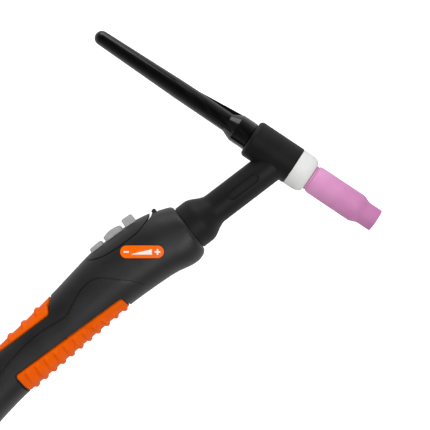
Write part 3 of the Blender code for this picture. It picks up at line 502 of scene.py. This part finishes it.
HANDLE_TOP = (
    (-190, 2.6), (-160, 9.3), (-135, 13.4), (-110, 16.3), (-90, 19.1), (-70, 22.4), (-57, 24.4),
    (-46, 24.6), (-34, 24.5), (-24, 24.0), (-14, 22.1), (-6, 19.2), (-1.2, 17.2), (0, 15.8),
)
HANDLE_BELLY = (
    (-190, -29.8), (-163, -23.9), (-148, -21.3), (-135, -19.8), (-100, -17.6), (-75, -16.2),
    (-55, -15.4), (-34, -16.0), (-22, -16.9), (-12, -19.0), (-7, -19.3), (-3, -18.3), (-1.2, -17.2),
    (0, -15.6),
)
HANDLE_HALF_WIDTH = (
    (-190, 17.5), (-176, 17.3), (-155, 16.3), (-130, 15.7), (-100, 15.8), (-75, 16.7), (-50, 17.5),
    (-24, 17.5), (-10, 17.0), (-1.2, 16.2), (0, 15.5),
)
HANDLE_SQUARENESS = ((-190, 2.1), (-150, 2.35), (-60, 2.45), (-12, 2.35), (0, 2.1))
HANDLE_WALL = (
    (-190, 2.7), (-146, 2.7), (-139, 4.3), (-57, 4.3), (-50, 2.5), (-17, 2.5), (-12, 3.6), (0, 3.6),
)
CREASE = (
    (-150, -2.1), (-146, -1.3), (-130, 2.3), (-115.3, 4.3), (-103.8, 4.2), (-92.6, 3.1), (-88.3, 3.7),
    (-82.8, 6.3), (-75.2, 9.3), (-69.5, 10.6), (-64.5, 10.6), (-59.8, 8.8), (-53.0, 2.6), (-46.2, -4.0),
    (-42.8, -8.6), (-40.5, -12.5),
)
HANDLE_REAR = -190
SPLIT = 0.12          # half of the gap between the shells
GROOVE = 1.1          # width of the groove round each grip
GRIP_RECESS = 2.3
CREASE_DEPTH = 0.7
CREASE_HALF_WIDTH = 0.36
SWELLING = 0.4        # height of the soft step under the crease
LOWER_GRIP_REAR = -136.3
LOWER_GRIP_FRONT = -57.2
UPPER_GRIP_FRONT = -92.3
SCREW_WELL_RADIUS = 2.6


def smooth_along(points, x):
    """Heights at x of a smooth curve through points given in order of x."""
    xs, ys = np.array(points, float).T
    last = len(xs) - 1
    here = np.arange(len(xs))
    before, after = np.maximum(here - 1, 0), np.minimum(here + 1, last)
    slopes = (ys[after] - ys[before]) / (xs[after] - xs[before])
    i = np.clip(np.searchsorted(xs, x) - 1, 0, last - 1)
    step = xs[i + 1] - xs[i]
    t = (x - xs[i]) / step
    return (
        ys[i] * (1 + 2 * t) * (1 - t) ** 2 + slopes[i] * step * t * (1 - t) ** 2
        + ys[i + 1] * t * t * (3 - 2 * t) + slopes[i + 1] * step * t * t * (t - 1)
    )


def section_at(x):
    """Middle height, half height, half width and squareness of the handle's section at x."""
    top, belly = smooth_along(HANDLE_TOP, x), smooth_along(HANDLE_BELLY, x)
    squareness = np.interp(x, *np.array(HANDLE_SQUARENESS).T)
    return (top + belly) / 2, (top - belly) / 2, smooth_along(HANDLE_HALF_WIDTH, x), squareness


def skin_at(x, turn, depth):
    """Points of the handle's skin, at a depth under it; turn 0 is the top and 90 the right side."""
    middle, half_height, half_width, squareness = section_at(x)
    up, out = np.cos(np.radians(turn)), np.sin(np.radians(turn))
    y = middle + (half_height - depth) * np.sign(up) * np.abs(up) ** (2 / squareness)
    z = (half_width - depth) * np.sign(out) * np.abs(out) ** (2 / squareness)
    return np.stack(np.broadcast_arrays(x, y, z), -1)


def turn_at(x, y):
    """The turn at which the skin reaches a height, on the right side."""
    middle, half_height, _, squareness = section_at(x)
    share = np.clip((y - middle) / half_height, -1, 1)
    return np.degrees(np.arccos(np.sign(share) * np.abs(share) ** (squareness / 2)))


def eased(share):
    """A share from 0 to 1, with a soft start and end."""
    share = np.clip(share, 0, 1)
    return share * share * (3 - 2 * share)


def lofted(name, columns, rows, back_rows, shape):
    """A closed solid: a grid bent into a tube, with its ends filled.

    `shape` gives the points for shares of the length and of the girth, first over the outside and,
    where there are back rows, then the other way along the inside, which leaves a wall between them.
    """
    around = rows + back_rows + 2 if back_rows else rows
    bpy.ops.object.select_all(action="DESELECT")
    bpy.ops.mesh.primitive_grid_add(x_subdivisions=columns, y_subdivisions=around, size=1)
    piece = bpy.context.object
    piece.name = name
    flat = np.empty(3 * len(piece.data.vertices))
    piece.data.vertices.foreach_get("co", flat)
    flat = flat.reshape(-1, 3) + 0.5
    place_round = np.rint(flat[:, 1] * around) % around
    inside = place_round > rows
    share = np.where(inside, (around - 1 - place_round) / max(back_rows, 1), place_round / rows)
    points = shape(flat[:, 0], share, inside) * MM
    piece.data.vertices.foreach_set("co", points.ravel())
    pick(piece)
    bpy.ops.object.mode_set(mode="EDIT")
    bpy.ops.mesh.select_all(action="SELECT")
    bpy.ops.mesh.remove_doubles(threshold=0.002 * MM)
    bpy.ops.mesh.fill_holes(sides=0)
    bpy.ops.mesh.select_all(action="SELECT")
    bpy.ops.mesh.normals_make_consistent(inside=False)
    bpy.ops.object.mode_set(mode="OBJECT")
    return piece


def skin_tool(name, depth, low=-192.0, high=2.0, spacing=2.0):
    """The handle's whole body at a depth under its skin, for cutting."""
    def shape(u, share, inside):
        x = low + (high - low) * u
        points = skin_at(np.clip(x, HANDLE_REAR, 0), 360 * share, depth)
        points[:, 0] = x
        return points
    return set_in(lofted(name, int((high - low) / spacing), 96, 0, shape), torch_frame)


def raised_side(x, y):
    """Height of the soft swelling below the side crease, which fades towards the grip."""
    below = eased((smooth_along(CREASE, np.clip(x, -149, -41)) - y) / 0.8)
    fade = eased((y + 9.5) / 11) * eased((-42.0 - x) / 9)
    return SWELLING * below * fade


def shell_shape(side):
    """Shape of one half of the body, from its top seam to its bottom one."""
    def shape(u, share, inside):
        x = HANDLE_REAR * (1 - u)
        rise = raised_side(x, skin_at(x, 180 * share, 0.0)[:, 1])
        wall = np.interp(x, *np.array(HANDLE_WALL).T)
        points = skin_at(x, 180 * share, np.where(inside, wall, -rise))
        points[:, 2] = side * np.maximum(points[:, 2], SPLIT)
        return points
    return shape


def lower_edge(x, margin=0.0):
    """Height of the lower grip's upper edge at x, with its corners rounded."""
    corner = 2.2 + margin
    inset = np.minimum(x - LOWER_GRIP_REAR + margin, LOWER_GRIP_FRONT + margin - x)
    reach = np.clip(corner - inset, 0, corner)
    edge = np.interp(x, (LOWER_GRIP_REAR, LOWER_GRIP_FRONT), (-7.5, -9.9))
    return edge + margin - corner + np.sqrt(corner**2 - reach**2)


def upper_edge(x):
    """Height of the upper grip's lower edge at x."""
    places = (-136, -100.4, -99.2, -98.3, -97.6, -97.0, -96.0, -93.2, -92.4)
    return np.interp(x, places, (11.1, 10.7, 10.9, 11.4, 12.3, 13.6, 15.8, 18.1, 19.0))


MODULE_LINE = (
    (-62.3, 23.8), (-58.0, 20.9), (-52.6, 18.7), (-47.0, 17.6), (-41.1, 17.0), (-28.9, 17.0),
    (-23.5, 17.6), (-18.8, 18.9), (-15.8, 20.0), (-14.5, 20.9), (-13.5, 22.0),
)
SCREW_PLACES = ((-32.0, -10.3), (-66.5, 13.6), (-118.0, -5.0), (-166.0, -0.5))


def module_outline(below=0.0, ahead=0.0):
    """The module seen from the side, with its parting line moved down and its front end ahead."""
    xs = np.linspace(MODULE_LINE[0][0], MODULE_LINE[-1][0], 60)
    ys = smooth_along(MODULE_LINE, xs) - below * np.clip((xs + 63) / 5, 0.1, 1)
    line = [(x + ahead * float(np.clip((x + 19) / 4, 0, 1)), y) for x, y in zip(xs, ys)]
    return line + [(line[-1][0] + 1.0, 34), (line[0][0] - 1.0, 34)]


def drawn_below(name, outline, low, depth):
    """A tool that cuts an outline into the handle's side, down to a depth under its skin."""
    return cut(sheet_prism(name, outline, low, 30), skin_tool("floor", depth))


xs = np.linspace(-149.5, -41.2, 110)
crease_line = [(x, y) for x, y in zip(xs, smooth_along(CREASE, xs))]
crease_outline = []
for side in (1, -1):
    edge = []
    for (x0, y0), (x1, y1) in zip(crease_line, crease_line[1:]):
        along = Vector((x1 - x0, y1 - y0)).normalized()
        taper = CREASE_HALF_WIDTH * min(1, (x0 + 149.6) / 25, (-40.0 - x0) / 9)
        edge.append(((x0 + x1) / 2 - along.y * side * taper, (y0 + y1) / 2 + along.x * side * taper))
    crease_outline += edge[::side]
xs = np.linspace(LOWER_GRIP_REAR - GROOVE, LOWER_GRIP_FRONT + GROOVE, 120)
lower_outline = [(x, float(lower_edge(x, GROOVE))) for x in xs]
lower_outline += [(LOWER_GRIP_FRONT + GROOVE, -34), (LOWER_GRIP_REAR - GROOVE, -34)]
xs = np.linspace(-152, UPPER_GRIP_FRONT, 120)
upper_outline = [(x + GROOVE, float(upper_edge(x)) - GROOVE) for x in xs]
upper_outline += [(UPPER_GRIP_FRONT + GROOVE, 34), (-152, 34)]
HOLLOWS = {   # rear, low, left and front, high, right corners
    "button_well": ((-58.5, 13.2, -6.3), (-45, 24, 6.3)),
    "latch_slot": ((-12.4, 15.8, -4.3), (-8.5, 30, 4.3)),
}
BADGE_MIDDLE = Vector((-30.5, 5.8))
BADGE_RADIUS = 3.85
BADGE_REACH = 9.35
badge_turn = Matrix.Rotation(math.radians(-37.4), 2)
BADGE_GAP = 0.25


def pill(radius):
    """Outline of the badge, drawn about its own middle."""
    return arc((BADGE_REACH, 0), radius, -90, 90, 24) + arc((-BADGE_REACH, 0), radius, 90, 270, 24)


badge_outline = [tuple(BADGE_MIDDLE + badge_turn @ Vector(point)) for point in pill(BADGE_RADIUS + BADGE_GAP)]

shells = {}
for side, name in ((1, "right_handle_shell"), (-1, "left_handle_shell")):
    shell = set_in(lofted(name, 170, 100, 40, shell_shape(side)), torch_frame)
    cut(shell, turned("nose_bore", [(14.95, -14.6), (14.95, 5)], 96, place=neck_frame))
    cut(shell, sheet_prism("module_cut", module_outline(0.6, 1.7), -30, 30))
    for hollow, (low, high) in HOLLOWS.items():
        outline = ((low[0], low[1]), (high[0], low[1]), (high[0], high[1]), (low[0], high[1]))
        cut(shell, sheet_prism(hollow, outline, low[2], high[2]))
    cut(shell, drawn_below("lower_recess", lower_outline, -30, GRIP_RECESS))
    cut(shell, drawn_below("upper_recess", upper_outline, -30, GRIP_RECESS))
    cut(shell, drawn_below("crease", crease_outline, -30, CREASE_DEPTH))
    if side > 0:
        cut(shell, drawn_below("badge_recess", badge_outline, 5, 0.6))
    else:
        for x, y in SCREW_PLACES:
            well = [(SCREW_WELL_RADIUS, -30), (SCREW_WELL_RADIUS, -6.4)]
            cut(shell, turned("screw_well", well, 32, at=(x, y, 0)))
    smoothed(shell, 35)
    shells[side] = shell

# Glass-filled nylon, moulded against a spark-eroded steel: charcoal, satin, with an even fine pebble
# grain, drawn at 0.6 mm so that it shows, and a slightly greyer bloom where the glass comes through.
spark_nylon = finish("spark_textured_nylon", "#202021", roughness=0.48, specular_ior_level=0.5)
patterned(spark_nylon, "Noise", 18, {"Detail": 3.0}, tones=("#1c1c1d", "#242425", 0.32, 0.7))
patterned(spark_nylon, "Voronoi", 0.6, {}, dullness=(0.4, 0.52), relief=(0.3, 0.06))
shown(shells[1], "torch", "handle_nylon", spark_nylon, "handle_shell_right")
shown(shells[-1], "torch", "handle_nylon", spark_nylon, "handle_shell_left")


# ---- Soft grips -----------------------------------------------------------------------------------
# Two pads of orange thermoplastic elastomer, moulded over the shells. The lower one wraps the belly
# with eleven narrow ribs, which grow shorter to the front; the upper one is slim, with round ribs.

GRIP_DEPTH = 2.0
LOWER_RIB_FIRST = -60.6
LOWER_RIB_PITCH = 7.05
LOWER_RIB_HEIGHT = 1.3
RIB_LEAN = 0.17
UPPER_RIB_FIRST = -104.0
UPPER_RIB_PITCH = 11.1
EDGE_ROUND = 1.0


def rounded_off(distance):
    """How far the surface falls at a distance from a rounded edge."""
    short = np.clip(EDGE_ROUND - distance, 0, EDGE_ROUND)
    return EDGE_ROUND - np.sqrt(EDGE_ROUND**2 - short**2)


def lower_grip_shape(u, share, inside):
    """Shape of the lower grip: round the belly from one upper edge to the other."""
    x = LOWER_GRIP_REAR + 79.1 * u
    start = turn_at(x, lower_edge(x))
    turn = start + (360 - 2 * start) * share
    y = skin_at(x, turn, 0.0)[:, 1]
    from_side = np.radians((180 - start) * (1 - np.abs(2 * share - 1))) * 16.5
    from_end = np.minimum(x - LOWER_GRIP_REAR, LOWER_GRIP_FRONT - x)
    fall = rounded_off(np.minimum(from_side, from_end))
    belly = smooth_along(HANDLE_BELLY, x)
    rib_x = x - (y - belly) * RIB_LEAN
    nearest = np.abs(((rib_x - LOWER_RIB_FIRST) / LOWER_RIB_PITCH + 0.5) % 1.0 - 0.5) * LOWER_RIB_PITCH
    rib_top = np.minimum(-13.2 - 0.1 * (x + 60), lower_edge(x) - 1.0)
    rise = LOWER_RIB_HEIGHT * (1 - eased((nearest - 0.35) / 1.7))
    rise = rise * eased((rib_top - y) / 1.2) * (x < -58.2) * (x > -134.4)
    return skin_at(x, turn, np.where(inside, GRIP_DEPTH, fall - rise))


def upper_grip_shape(u, share, inside):
    """Shape of the upper grip: over the top from one lower edge to the other."""
    x = -148.2 + 55.4 * u
    start = np.maximum(turn_at(x, upper_edge(x)), 1.5)
    turn = -start + 2 * start * share
    y = skin_at(x, turn, 0.0)[:, 1]
    from_side = np.radians(start * (1 - np.abs(2 * share - 1))) * 16
    fall = rounded_off(from_side)
    nearest = np.abs(((x - UPPER_RIB_FIRST) / UPPER_RIB_PITCH + 0.5) % 1.0 - 0.5) * UPPER_RIB_PITCH
    rise = 1.25 * np.sqrt(np.clip(1 - (nearest / 1.5) ** 2, 0, 1))
    rise = rise * eased((y - smooth_along(HANDLE_TOP, x) + 3.6) / 1.6) * (x < UPPER_RIB_FIRST + 2)
    return skin_at(x, turn, np.where(inside, GRIP_DEPTH, fall - rise))


lower_grip = set_in(lofted("ribbed_lower_grip", 240, 100, 24, lower_grip_shape), torch_frame)
smoothed(lower_grip, 50)
upper_grip = set_in(lofted("slim_upper_grip", 200, 60, 16, upper_grip_shape), torch_frame)
smoothed(upper_grip, 50)

# Thermoplastic elastomer, moulded: strong orange, soft-touch satin that scatters light at grazing
# angles, a fine leathery grain, and a slightly darker tone in broad patches.
orange_grip = finish("soft_touch_elastomer", "#f66200", roughness=0.5, specular_ior_level=0.08)
patterned(orange_grip, "Noise", 10, {"Detail": 3.0}, tones=("#f25d00", "#fb6800", 0.3, 0.7))
patterned(orange_grip, "Noise", 0.5, {"Detail": 3.0}, relief=(0.22, 0.06))
shown(lower_grip, "torch", "orange_grip", orange_grip, "lower_grip")
shown(upper_grip, "torch", "orange_grip", orange_grip, "upper_grip")


# ---- Side badge -----------------------------------------------------------------------------------
# A domed orange label with a plain pictogram for turning the current down and up: a bar, a rising
# wedge and a cross, printed in white. It follows the side of the handle.

def side_point(x, y, height):
    """Points over the right side of the handle, at a height above its skin."""
    middle, half_height, half_width, squareness = section_at(x)
    share = np.clip(np.abs((y - middle) / (half_height + height)), 0, 1)
    z = (half_width + height) * (1 - share**squareness) ** (1 / squareness)
    return np.stack(np.broadcast_arrays(x, y, z), -1)


def laid_on_side(piece):
    """Lays a flat piece, drawn about the badge's middle, over the side of the handle."""
    for vertex in piece.data.vertices:
        flat = vertex.co / MM
        x, y = BADGE_MIDDLE + badge_turn @ flat.xy
        vertex.co = Vector(side_point(x, y, flat.z)) * MM
    return set_in(piece, torch_frame)


def gridded(piece, spacing):
    """Cuts a flat piece into squares, so that it can bend."""
    pick(piece)
    bpy.ops.object.mode_set(mode="EDIT")
    low, high = Vector(piece.bound_box[0]) / MM, Vector(piece.bound_box[6]) / MM
    for way in (0, 1):
        for step in range(math.ceil(low[way] / spacing), math.floor(high[way] / spacing) + 1):
            at, normal = Vector((0, 0, 0)), Vector((0, 0, 0))
            at[way], normal[way] = step * spacing * MM, 1
            bpy.ops.mesh.select_all(action="SELECT")
            bpy.ops.mesh.bisect(plane_co=at, plane_no=normal)
    bpy.ops.object.mode_set(mode="OBJECT")
    return piece


badge = softened(sheet_prism("domed_side_badge", pill(BADGE_RADIUS), -0.5, 0.15, Matrix()), 0.3, 3, 40)
badge = smoothed(laid_on_side(gridded(badge, 1.0)), 30)
PRINTS = {
    "minus_print": ((-11.0, -0.5), (-7.8, -0.5), (-7.8, 0.5), (-11.0, 0.5)),
    "wedge_print": ((-6.0, -1.6), (6.0, -1.6), (6.0, 1.7), (-6.0, -1.2)),
    "plus_print": (
        (7.6, -0.5), (8.8, -0.5), (8.8, -1.7), (9.8, -1.7), (9.8, -0.5), (11.0, -0.5),
        (11.0, 0.5), (9.8, 0.5), (9.8, 1.7), (8.8, 1.7), (8.8, 0.5), (7.6, 0.5),
    ),
}
prints = [
    laid_on_side(gridded(sheet_prism(name, outline, 0.0, 0.19, Matrix()), 1.0))
    for name, outline in PRINTS.items()
]

# Polycarbonate label film with a clear dome: bright orange under a glossy coat, faintly mottled.
orange_badge = finish(
    "domed_label_film", "#ff6a00", roughness=0.3, specular_ior_level=0.12, coat_weight=0.08,
    coat_roughness=0.12,
)
patterned(orange_badge, "Noise", 2.5, {"Detail": 3.0}, tones=("#fd6500", "#ff7000"))
shown(badge, "torch", "orange_badge", orange_badge, "side_badge")

# Screen-printed ink: warm white, a little uneven.
white_ink = finish("screen_printed_ink", "#f7f1e8", roughness=0.4)
patterned(white_ink, "Noise", 0.6, {"Detail": 2.0}, tones=("#f3eadc", "#fcf8f2"))
for printed in prints:
    shown(printed, "torch", "orange_badge", white_ink)


# ---- Switch module cover --------------------------------------------------------------------------
# The separate cover over the switches, of the same nylon, which follows the top of the handle. It
# has a window for each button, and a hook on the shells holds its front end.

BUTTON_HALF_WIDTH = 6.0
WINDOW_GAP = 0.3
COVER_WALL = 1.8
BUTTONS = {
    "front_button": ((-30.0, 19.6), (-30.0, 28.2), (-29.2, 29.0), (-22.8, 28.6), (-22.8, 19.6)),
    "middle_button": (
        (-44.7, 19.6), (-44.7, 27.2), (-41.6, 28.0), (-38.4, 28.3), (-35.3, 28.0), (-32.2, 27.2),
        (-32.2, 19.6),
    ),
    "rear_button": ((-55.8, 19.6), (-55.8, 25.6), (-54.8, 26.7), (-47.0, 26.9), (-47.0, 19.6)),
}


def cover_shape(u, share, inside):
    """Shape of the cover before its outline is cut: over the top of the handle."""
    return skin_at(-64.0 + 51.0 * u, 200 * share - 100, np.where(inside, COVER_WALL, 0.0))


cover = set_in(lofted("switch_module_cover", 90, 90, 60, cover_shape), torch_frame)
cut(cover, sheet_prism("cover_outline", module_outline(), -30, 30), "INTERSECT")
lying = torch_frame @ Matrix(((1, 0, 0), (0, 0, 1), (0, -1, 0))).to_4x4()
half_width = BUTTON_HALF_WIDTH + WINDOW_GAP
for outline in BUTTONS.values():
    back, front = outline[0][0] - WINDOW_GAP, outline[-1][0] + WINDOW_GAP
    outline = ((back, -half_width), (front, -half_width), (front, half_width), (back, half_width))
    window = softened(sheet_prism("window", outline, 14, 40, Matrix()), 1.0, 4, 60)
    cut(cover, set_in(window, lying))
smoothed(cover, 35)
shown(cover, "torch", "handle_nylon", spark_nylon, "switch_module_housing")


def tongue_shape(u, share, inside):
    """Shape of the tongue that runs round under the cover's edge and the shells'."""
    return skin_at(-63.0 + 46.0 * u, 200 * share - 100, np.where(inside, 2.1, 1.4))


tongue = set_in(lofted("cover_tongue", 60, 90, 60, tongue_shape), torch_frame)
cut(tongue, sheet_prism("tongue_outline", module_outline(1.8), -30, 30), "INTERSECT")
cut(tongue, sheet_prism("tongue_gap", module_outline(-1.0), -30, 30))
smoothed(tongue, 35)
shown(tongue, "torch", "handle_nylon", spark_nylon)


# ---- Buttons --------------------------------------------------------------------------------------
# Three light-grey ABS keys, moulded with soft edges. Each stands through its window in the cover,
# held by a lip under it, and a stem presses its switch.

stem_frame = torch_frame @ Matrix.Rotation(-math.pi / 2, 4, "X")
buttons = {}
for name, outline in BUTTONS.items():
    key = sheet_prism(name + "_key", outline, -BUTTON_HALF_WIDTH, BUTTON_HALF_WIDTH)
    softened(key, 0.9, 4, 30)
    back, front = outline[0][0], outline[-1][0]
    outline = ((back - 0.7, 19.8), (front + 0.7, 19.8), (front + 0.7, 20.9), (back - 0.7, 20.9))
    cut(key, sheet_prism("lip", outline, -5.5, 5.5), "UNION")
    middle = ((back + front) / 2, 0, 0)
    cut(key, turned("stem", [(1.4, 18.5), (1.4, 20.6)], 32, at=middle, place=stem_frame), "UNION")
    smoothed(key, 40)
    buttons[name] = key

# ABS, moulded: cool light grey, satin, with a fine texture, and slightly polished and soiled where
# a finger rubs.
grey_abs = finish("satin_abs", "#a5a5a4", roughness=0.38)
patterned(
    grey_abs, "Noise", 4, {"Detail": 4.0}, tones=("#9c9c9b", "#adadac", 0.3, 0.7), dullness=(0.3, 0.46),
)
patterned(grey_abs, "Noise", 0.4, {"Detail": 2.0}, relief=(0.12, 0.04))
for name, key in buttons.items():
    shown(key, name, "button_grey", grey_abs, name)


# ---- Module latch ---------------------------------------------------------------------------------
# A springy nylon hook on the shells, in a slot in front of the cover, which it holds down.

outline = (
    (-11.6, 16.1), (-9.2, 16.1), (-9.2, 22.0), (-9.5, 22.6), (-10.2, 22.7), (-11.7, 22.3), (-12.1, 21.9),
    (-11.9, 21.3), (-11.6, 21.1),
)
latch = softened(sheet_prism("module_hook", outline, -4.0, 4.0), 0.25, 3, 30)
smoothed(latch, 40)
shown(latch, "module_latch", "handle_nylon", spark_nylon, "module_latch")


# ---- Screws ---------------------------------------------------------------------------------------
# Four thread-forming screws of zinc-plated steel, with a hexagon socket, driven from the left.

stations = [(1.6, -8.6), (1.9, -8.6), (2.2, -8.2), (2.2, -6.7), (1.2, -6.7), (1.2, 5), (0.1, 6)]
screw = turned("shell_screw_1", stations, 48)
cut(screw, turned("socket", [(1.15, -9.6), (1.15, -7.4)], 6))
softened(screw, 0.08, 2, 40)
screws = [smoothed(screw, 35)]
for number in range(2, len(SCREW_PLACES) + 1):
    copied = screw.copy()
    copied.data = screw.data.copy()
    copied.name = f"shell_screw_{number}"
    bpy.context.scene.collection.objects.link(copied)
    screws.append(copied)
for screw, (x, y) in zip(screws, SCREW_PLACES):
    set_in(screw, Matrix.Translation(Vector((x, y, 0)) * MM))

# Zinc-plated steel: bright and bluish, with a fine crystalline mottle.
zinc_steel = finish("zinc_plated_steel", "#a9abad", metallic=1.0, roughness=0.3)
patterned(zinc_steel, "Voronoi", 0.7, {}, dullness=(0.22, 0.42))
for number, screw in enumerate(screws, start=1):
    shown(screw, "torch", "screw_steel", zinc_steel, f"handle_screw_{number}")


# ---- Cable inlet ----------------------------------------------------------------------------------
# A nylon ring plugged into the rear of the shells, where a cable bundle would enter.

stations = [(9.6, -196)] + arc((14.2, -194.6), 1.4, -90, 0, 8)
stations += [(15.6, -193.4), (15.2, -193.2), (15.2, -192.8), (15.6, -192.6), (15.6, -190.3), (11.8, -190.3)]
stations += [(11.8, -184.4), (11.4, -184), (9.6, -184), (9.6, -196)]
inlet = turned("cable_inlet_ring", stations, 128, at=(0, -13.6, 0), place=neck_frame)
smoothed(inlet, 35)
shown(inlet, "torch", "handle_nylon", spark_nylon, "cable_inlet_collar")


# ---- Inside pieces --------------------------------------------------------------------------------
# The frame's own solids for what the shells hide: tubes and their fittings, the head's core and
# collet, and the switches on their board.

def dressed(material, *names):
    """Gives the frame's own solids a material."""
    for name in names:
        solid = frame["nodes"][name]
        solid.data.materials.clear()
        solid.data.materials.append(material)


# Brass, turned: yellow and bright, with fine tool rings and a little tarnish.
brass = finish("turned_brass", "#c69a4d", metallic=1.0, roughness=0.28)
patterned(brass, "Noise", 5, {"Detail": 4.0}, tones=("#a67c38", "#d3a959"), dullness=(0.38, 0.22))

# Epoxy board under green solder resist, with the weave of its glass just visible.
green_board = finish("solder_resist", "#0f5a2c", roughness=0.32)
patterned(green_board, "Wave", 1.2, {"Distortion": 1.0}, tones=("#0c4f26", "#146a36"))

# Black polyester switch bodies: fine-grained and slightly shiny.
switch_black = finish("switch_polyester", "#141414", roughness=0.36)
patterned(switch_black, "Noise", 0.5, {"Detail": 2.0}, dullness=(0.28, 0.46))

dressed(copper, "gas_tube", "water_tube", "power_tube", "collet")
dressed(brass, "gas_nipple", "water_nipple", "power_adapter", "head_core")
dressed(green_board, "switch_board")
dressed(switch_black, "front_switch", "middle_switch", "rear_switch")


# ---- Floor, light and camera ----------------------------------------------------------------------
# A lit white table under the torch, a low key light that the cap's sloped flat mirrors, an even one
# straight above, one that the handle's flank mirrors, a low one for the upper rims, and a camera
# straight above the table.

bpy.ops.object.select_all(action="DESELECT")
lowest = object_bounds()[0].z
bpy.ops.mesh.primitive_circle_add(vertices=96, radius=4.0, fill_type="NGON", location=(0, 0, lowest))
floor = bpy.context.object
floor.name = "studio_floor"
floor.visible_diffuse = False
floor.visible_glossy = False
table = finish(
    "lit_white_table", "#ffffff", roughness=0.9, specular_ior_level=0.0, emission_color=(1, 1, 1, 1),
    emission_strength=0.85,
)
floor.data.materials.append(table)

world = bpy.data.worlds.new("white_studio")
bpy.context.scene.world = world
world.use_nodes = True
around = node(world, "ShaderNodeTexCoord", {})
height = node(world, "ShaderNodeSeparateXYZ", {}, [("Vector", around, "Generated")])
share = node(world, "ShaderNodeMapRange", {"From Min": -1.0, "From Max": 1.0}, [("Value", height, "Z")])
glow = node(world, "ShaderNodeValToRGB", {}, [("Fac", share, "Result")])
glow.color_ramp.elements[0].color = (0.9, 0.9, 0.9, 1)
glow.color_ramp.elements[1].color = (0.03, 0.03, 0.03, 1)
for position, grey in ((0.48, 0.75), (0.58, 0.35), (0.8, 0.17)):
    band = glow.color_ramp.elements.new(position)
    band.color = (grey, grey, grey, 1)
world.node_tree.links.new(glow.outputs["Color"], world.node_tree.nodes["Background"].inputs["Color"])

view_right = Vector((0.794, -0.607, 0))
view_up = Vector((0.607, 0.794, 0))
view_middle = torch_frame @ (Vector((17.6, -3.2, 0)) * MM)
HALF_FIELD = 0.13115   # half of the breadth that the camera takes in


def softbox(name, right, up, above, size, power, mirrored):
    """A square light at a place in the view's directions, in metres, aimed at its middle."""
    bpy.ops.object.light_add(type="AREA")
    light = bpy.context.object
    light.name = name
    light.data.size = size
    light.data.energy = power
    light.location = view_middle + view_right * right + view_up * up + Vector((0, 0, above))
    light.rotation_euler = (view_middle - light.location).to_track_quat("-Z", "Y").to_euler()
    light.visible_glossy = mirrored


softbox("key_softbox", 0.02, 1.12, 0.37, 0.8, 4.2, True)
softbox("front_softbox", 0.0, 0.0, 1.2, 0.8, 7, False)
softbox("flank_softbox", 0.42, -0.28, 1.1, 0.5, 4.2, True)
softbox("rim_softbox", -0.4, 1.0, 0.3, 0.5, 2.4, False)

camera = bpy.data.cameras.new("overhead_camera")
camera.lens = 120
camera.sensor_width = 36
camera.clip_start = 0.01
view_point = bpy.data.objects.new("overhead_camera", camera)
bpy.context.scene.collection.objects.link(view_point)
distance = HALF_FIELD / (camera.sensor_width / camera.lens / 2)
view_point.matrix_world = Matrix.Translation(view_middle + Vector((0, 0, distance))) @ Matrix(
    (view_right, view_up, Vector((0, 0, 1)))
).transposed().to_4x4()
bpy.context.scene.camera = view_point
bpy.context.scene.view_settings.view_transform = "Standard"
